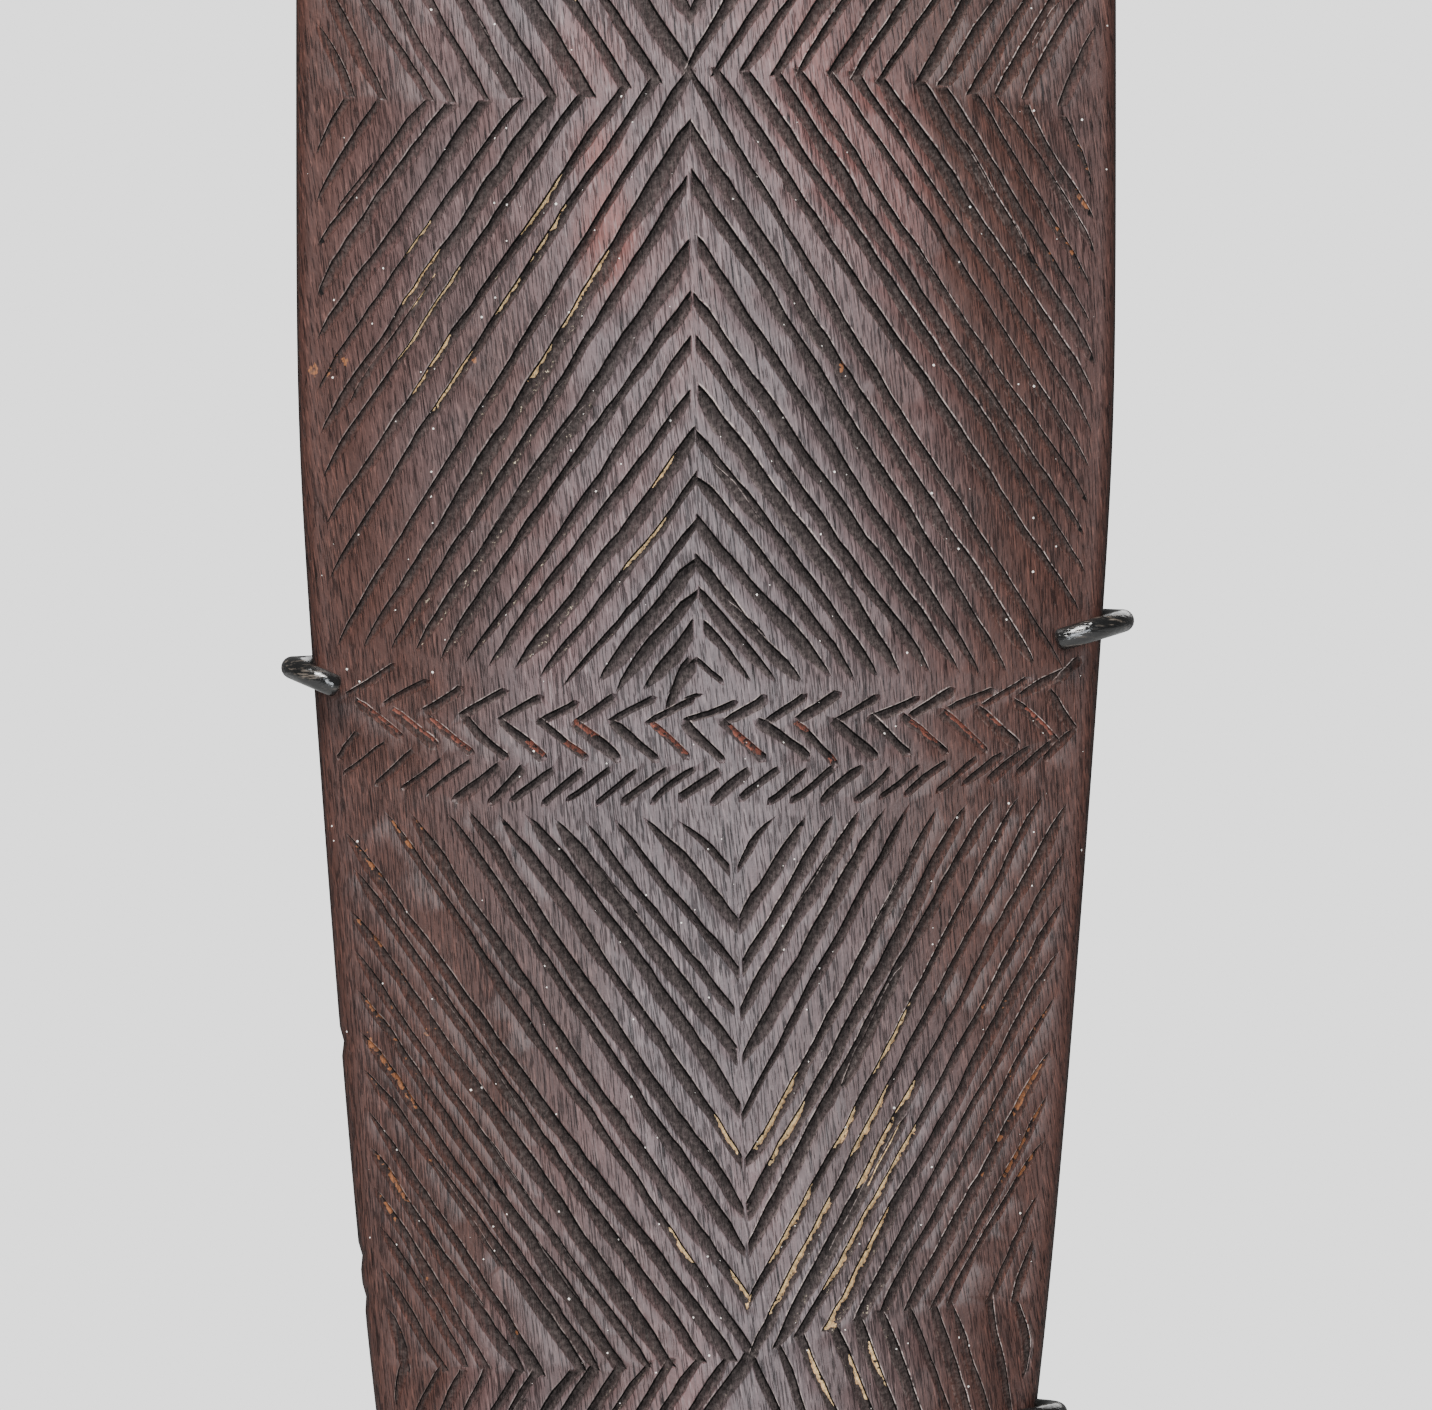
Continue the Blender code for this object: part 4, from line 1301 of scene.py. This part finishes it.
def plate_material(look):
    """Satin black plate with a fine powder texture, a faint haze and a little dust."""
    material, tree, shader = new_material("black_plate")
    place = object_place(tree)
    powder = noise_value(tree, place, POWDER_SCALE)
    cloud = noise_value(tree, place, CLOUD_SCALE, 3.0)
    color = blend_color(tree, ramp(tree, cloud, 0.35, 0.80, 0.0, 0.8), look.plate_color, look.haze_color)
    dust = use_group(tree, specks(), Vector=place, Scale=DUST_SCALE, Share=0.04, Radius=0.05)
    color = blend_color(tree, product(tree, dust.outputs["Mask"], 0.5), color, look.dust_color)
    tree.links.new(color, shader.inputs["Base Color"])
    tree.links.new(ramp(tree, cloud, 0.3, 0.7, 0.38, 0.52), shader.inputs["Roughness"])
    tree.links.new(bump(tree, powder, 0.0002, 0.5), shader.inputs["Normal"])
    return material


def floor_material(look):
    """Pale matt studio floor."""
    material, tree, shader = new_material("pale_floor")
    cloud = noise_value(tree, object_place(tree), 3.0)
    color = blend_color(tree, cloud, look.floor_color, look.floor_shade_color)
    tree.links.new(color, shader.inputs["Base Color"])
    shader.inputs["Roughness"].default_value = 0.8
    return material


# Settings


def color_property(name, description, value):
    """A colour setting."""
    return FloatVectorProperty(name=name, description=description, default=value, subtype="COLOR",
                               size=3, min=0.0, max=1.0)


class ShieldLook(bpy.types.PropertyGroup):
    """Colours of the wood and of what fills its cuts."""

    # Grey-violet wood, partly a painted sheen on the crest
    middle_color: color_property("Middle", "Grey-violet wood in the middle", (0.091, 0.065, 0.068))
    red_color: color_property("Red", "Redder wood", (0.140, 0.054, 0.048))
    # Brown wood, darker also as painted shade of the sloping sides
    edge_color: color_property("Edge", "Brown wood near the edges", (0.048, 0.0195, 0.0148))
    fibre_color: color_property("Fibres", "Pale fibres", (0.24, 0.19, 0.19))
    red_fibre_color: color_property("Red fibres", "Fibres in the brown wood", (0.15, 0.060, 0.044))
    pore_color: color_property("Pores", "Dark pores", (0.006, 0.004, 0.004))
    # Near black: the painted shadow under the steep walls, and the painted shade on the side wall
    shadow_color: color_property("Deep cut", "Dirt under the steep walls", (0.002, 0.0015, 0.0015))
    # Dark fill of the cut floors: dirt, and painted shade of the recess
    cut_dirt_and_shade_color: color_property("Cuts", "Dirt on the floor of the cuts", (0.018, 0.014, 0.013))
    cut_grit_color: color_property("Grit", "Paler grit in the cuts", (0.046, 0.037, 0.034))
    cream_color: color_property("Cream", "Remains of cream pigment", (0.92, 0.62, 0.30))
    cream_shade_color: color_property("Cream shade", "Thin or dirty cream pigment", (0.52, 0.31, 0.15))
    ochre_color: color_property("Red ochre", "Remains of red pigment", (0.20, 0.066, 0.046))
    orange_color: color_property("Orange", "Orange stains by the edges", (0.22, 0.085, 0.036))
    # A painted highlight along the rims of the cuts, with some wear
    rim_wear_and_highlight_color: color_property("Worn rims", "Wood where the rims are worn", (0.46, 0.37, 0.34))
    # Pale grains along the rims, partly painted glints
    grain_and_glint_color: color_property("Pale grains", "Pale grains along the rims of the cuts", (0.60, 0.50, 0.36))
    speck_color: color_property("Specks", "White specks", (0.85, 0.80, 0.74))


class StandLook(bpy.types.PropertyGroup):
    """Colours of the stand."""

    rod_color: color_property("Rod", "Black coat of the rods", (0.007, 0.007, 0.007))
    plate_color: color_property("Plate", "Black coat of the plate", (0.012, 0.012, 0.013))
    # Scuffs, and painted reflection streaks along the rods
    scuff_and_reflection_color: color_property("Scuffs", "Rubbed coat of the rods", (0.12, 0.098, 0.080))
    haze_color: color_property("Haze", "Rubbed coat of the plate", (0.026, 0.026, 0.026))
    dust_color: color_property("Dust", "Dust on the plate", (0.30, 0.29, 0.27))


class StageLook(bpy.types.PropertyGroup):
    """Camera, lights and background."""

    distance: FloatProperty(name="Distance", description="Camera to the shield's edge plane",
                            default=3.0, min=0.3, unit="LENGTH")
    key_power: FloatProperty(name="Key power", description="Power of the main lamp",
                             default=54.0, min=0.0)
    fill_power: FloatProperty(name="Fill power", description="Power of the frontal lamp",
                              default=98.0, min=0.0)
    background: FloatProperty(name="Background", description="Brightness behind the object",
                              default=1.9, min=0.0)
    ambient: FloatProperty(name="Ambient", description="Soft light from all round",
                           default=0.14, min=0.0)
    floor_color: color_property("Floor", "Floor", (0.66, 0.66, 0.66))
    floor_shade_color: color_property("Floor shade", "Floor's darker patches", (0.62, 0.62, 0.62))


# Pieces


def hook_points(side, node, arm_z):
    """One hook's centre line, from its tip on the face round the rim to the straight back run."""
    reach = HOOK_REACH[node][side]
    level = arm_z + side * ARM_TILT[node] / 2
    half = half_width(level - SHIELD_MIDDLE)
    turn_x = half - RIM_THICKNESS / 2
    turn_r = RIM_THICKNESS / 2 + HOOK_SLACK + ROD_RADIUS
    tip_x = half - reach
    slope = 2 * CREST_RISE * swell(level - SHIELD_MIDDLE) * tip_x / (half - RIM_INSET) ** 2
    stand_off = (ROD_RADIUS + TOUCH_GAP) * math.hypot(1, slope)
    tip_y = face_y(tip_x, level - SHIELD_MIDDLE) - stand_off
    low_y = min(tip_y, -turn_r)
    centre_y = (ARM_BACK_Y + low_y) / 2
    turn_y = (ARM_BACK_Y - low_y) / 2
    fall = HOOK_FALL[node][side] / (turn_x + turn_r - tip_x)
    points = []
    if turn_x - tip_x > ROD_RADIUS / 2:
        points.append(Vector((side * tip_x, tip_y, level - HOOK_FALL[node][side])))
    for k in range(HOOK_STEPS + 1):
        turn = math.pi * (k / HOOK_STEPS - 0.5)
        x = turn_x + turn_r * math.cos(turn)
        z = level - fall * (turn_x + turn_r - x) if turn < 0 else level + BACK_LIFT * (1 - math.cos(turn))
        points.append(Vector((side * x, centre_y + turn_y * math.sin(turn), z)))
    return points


def round_end(path):
    """The path with its first end drawn as a dome, and each point's share of the rod's radius."""
    way = (path[1] - path[0]).normalized()
    points, radii = [], []
    for share in END_SHARES:
        points.append(path[0] + way * share * END_LENGTH)
        radii.append(math.sqrt(1 - (1 - share) ** 2))
    return points + path[1:], radii + [1.0] * (len(path) - 1)


def rod_piece(name, node, material):
    """One arm: a bent round rod with rounded ends."""
    low, high = [Vector(corner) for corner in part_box(node)]
    arm_z = (low.z + high.z) / 2
    left, right = [hook_points(side, node, arm_z) for side in (LEFT, RIGHT)]
    (left, left_radii), (right, right_radii) = round_end(left), round_end(right)
    path = left + right[::-1]
    radii = left_radii + right_radii[::-1]
    curve = bpy.data.curves.new(name, "CURVE")
    curve.dimensions = "3D"
    curve.bevel_depth = ROD_RADIUS
    curve.bevel_resolution = ROD_RESOLUTION
    curve.use_fill_caps = True
    spline = curve.splines.new("POLY")
    spline.points.add(len(path) - 1)
    for point, place, radius in zip(spline.points, path, radii):
        point.co = (*place, 1.0)
        point.radius = radius
    piece = bpy.data.objects.new(name, curve)
    bpy.context.scene.collection.objects.link(piece)
    activate(piece)
    bpy.ops.object.convert(target="MESH")
    piece = bpy.context.view_layer.objects.active
    piece.data.materials.clear()
    piece.data.materials.append(material)
    bpy.ops.object.shade_smooth_by_angle(angle=ROD_SMOOTHING)
    return piece


class OBJECT_OT_carved_shield(bpy.types.Operator):
    """Model the carved shield with its grip"""

    bl_idname = "object.carved_shield"
    bl_label = "Carved shield"

    def execute(self, context):
        grooves = all_grooves()
        hand = random.Random(CARVING_SEED + 2)
        grooves += recuts(grooves, hand)
        lay_cream(grooves)
        for cut in grooves:
            knife_stations(cut, hand)
        shield = shield_shell(grooves)
        join_grip(shield, grip_block())
        mark_surface(shield, grooves)
        shield.data.materials.clear()
        shield.data.materials.append(face_material(context.scene.shield_look))
        activate(shield)
        bpy.ops.object.shade_smooth_by_angle(angle=SHIELD_SMOOTHING)
        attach(shield, BODY)
        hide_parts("shield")
        return {"FINISHED"}


class OBJECT_OT_shield_arms(bpy.types.Operator):
    """Model the two bent rods whose hooks hold the shield"""

    bl_idname = "object.shield_arms"
    bl_label = "Arms"

    def execute(self, context):
        material = rod_material(context.scene.stand_look)
        for name, node in (("upper_rod", "upper_arm"), ("lower_rod", "lower_arm")):
            piece = rod_piece(name, node, material)
            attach(piece, BODY)
            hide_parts(node)
        return {"FINISHED"}


class OBJECT_OT_shield_stand(bpy.types.Operator):
    """Finish the stand's plate and upright"""

    bl_idname = "object.shield_stand"
    bl_label = "Plate and upright"

    def execute(self, context):
        look = context.scene.stand_look
        finishes = {"stand_base": plate_material(look), "stand_post": rod_material(look)}
        for node, material in finishes.items():
            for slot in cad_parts[node].material_slots:
                slot.material = material
        return {"FINISHED"}


# Stage


def aim(thing, target):
    """Turn a lamp or camera to look at a point."""
    thing.rotation_euler = (Vector(target) - thing.location).to_track_quat("-Z", "Y").to_euler()


def area_lamp(name, settings, power, target):
    """A soft rectangular lamp."""
    place, size, tint, share = settings
    lamp = bpy.data.lights.new(name, "AREA")
    lamp.shape = "RECTANGLE"
    lamp.size, lamp.size_y = size
    lamp.energy = power * share
    lamp.color = tint
    made = bpy.data.objects.new(name, lamp)
    made.location = place
    bpy.context.scene.collection.objects.link(made)
    aim(made, target)


class SCENE_OT_shield_stage(bpy.types.Operator):
    """Set up the camera, the lights, the floor and the grey surround"""

    bl_idname = "scene.shield_stage"
    bl_label = "Stage"

    def execute(self, context):
        look = context.scene.stage_look
        centre = Vector((VIEW_CENTRE[0], VIEW_PLANE, SHIELD_MIDDLE + VIEW_CENTRE[1]))
        camera = bpy.data.cameras.new("camera")
        camera.sensor_width = SENSOR_WIDTH
        camera.lens = SENSOR_WIDTH * look.distance / VIEW_WIDTH
        eye = bpy.data.objects.new("camera", camera)
        eye.location = centre + Vector((0.0, -look.distance, 0.0))
        context.scene.collection.objects.link(eye)
        aim(eye, centre)
        context.scene.camera = eye
        area_lamp("key", KEY_LAMP, look.key_power, centre)
        area_lamp("front", FRONT_LAMP, look.fill_power, centre)
        area_lamp("behind", BACK_LAMP, look.fill_power, centre)
        bpy.ops.mesh.primitive_circle_add(vertices=FLOOR_SIDES, radius=FLOOR_RADIUS, fill_type="NGON")
        floor = context.view_layer.objects.active
        floor.name = "floor"
        floor.data.materials.append(floor_material(look))
        surround(look)
        return {"FINISHED"}


def surround(look):
    """A flat grey behind the object and a softer one that lights it."""
    world = bpy.data.worlds.new("surround")
    bpy.context.scene.world = world
    world.use_nodes = True
    tree = world.node_tree
    tree.nodes.clear()
    seen = add_node(tree, "ShaderNodeBackground", Color=(look.background,) * 3)
    lit = add_node(tree, "ShaderNodeBackground", Color=(1.0, 1.0, 1.0), Strength=look.ambient)
    path = tree.nodes.new("ShaderNodeLightPath")
    mixer = tree.nodes.new("ShaderNodeMixShader")
    out = tree.nodes.new("ShaderNodeOutputWorld")
    tree.links.new(path.outputs["Is Camera Ray"], mixer.inputs[0])
    tree.links.new(lit.outputs[0], mixer.inputs[1])
    tree.links.new(seen.outputs[0], mixer.inputs[2])
    tree.links.new(mixer.outputs[0], out.inputs["Surface"])


class VIEW3D_PT_shield(bpy.types.Panel):
    """Lists the shield's pieces in the sidebar"""

    bl_label = "Parrying shield"
    bl_idname = "VIEW3D_PT_shield"
    bl_space_type = "VIEW_3D"
    bl_region_type = "UI"
    bl_category = "Shield"

    def draw(self, context):
        for operator in OPERATORS:
            self.layout.operator(operator.bl_idname)
        for group in ("shield_look", "stand_look", "stage_look"):
            settings = getattr(context.scene, group)
            for name in settings.__annotations__:
                self.layout.prop(settings, name)


OPERATORS = (OBJECT_OT_carved_shield, OBJECT_OT_shield_arms, OBJECT_OT_shield_stand, SCENE_OT_shield_stage)
CLASSES = (ShieldLook, StandLook, StageLook, *OPERATORS, VIEW3D_PT_shield)


def register():
    for item in CLASSES:
        bpy.utils.register_class(item)
    bpy.types.Scene.shield_look = PointerProperty(type=ShieldLook)
    bpy.types.Scene.stand_look = PointerProperty(type=StandLook)
    bpy.types.Scene.stage_look = PointerProperty(type=StageLook)


def unregister():
    del bpy.types.Scene.stage_look
    del bpy.types.Scene.stand_look
    del bpy.types.Scene.shield_look
    for item in reversed(CLASSES):
        bpy.utils.unregister_class(item)


def main():
    """Model everything."""
    register()
    bpy.ops.object.carved_shield()
    bpy.ops.object.shield_arms()
    bpy.ops.object.shield_stand()
    bpy.ops.scene.shield_stage()


if __name__ == "__main__":
    main()
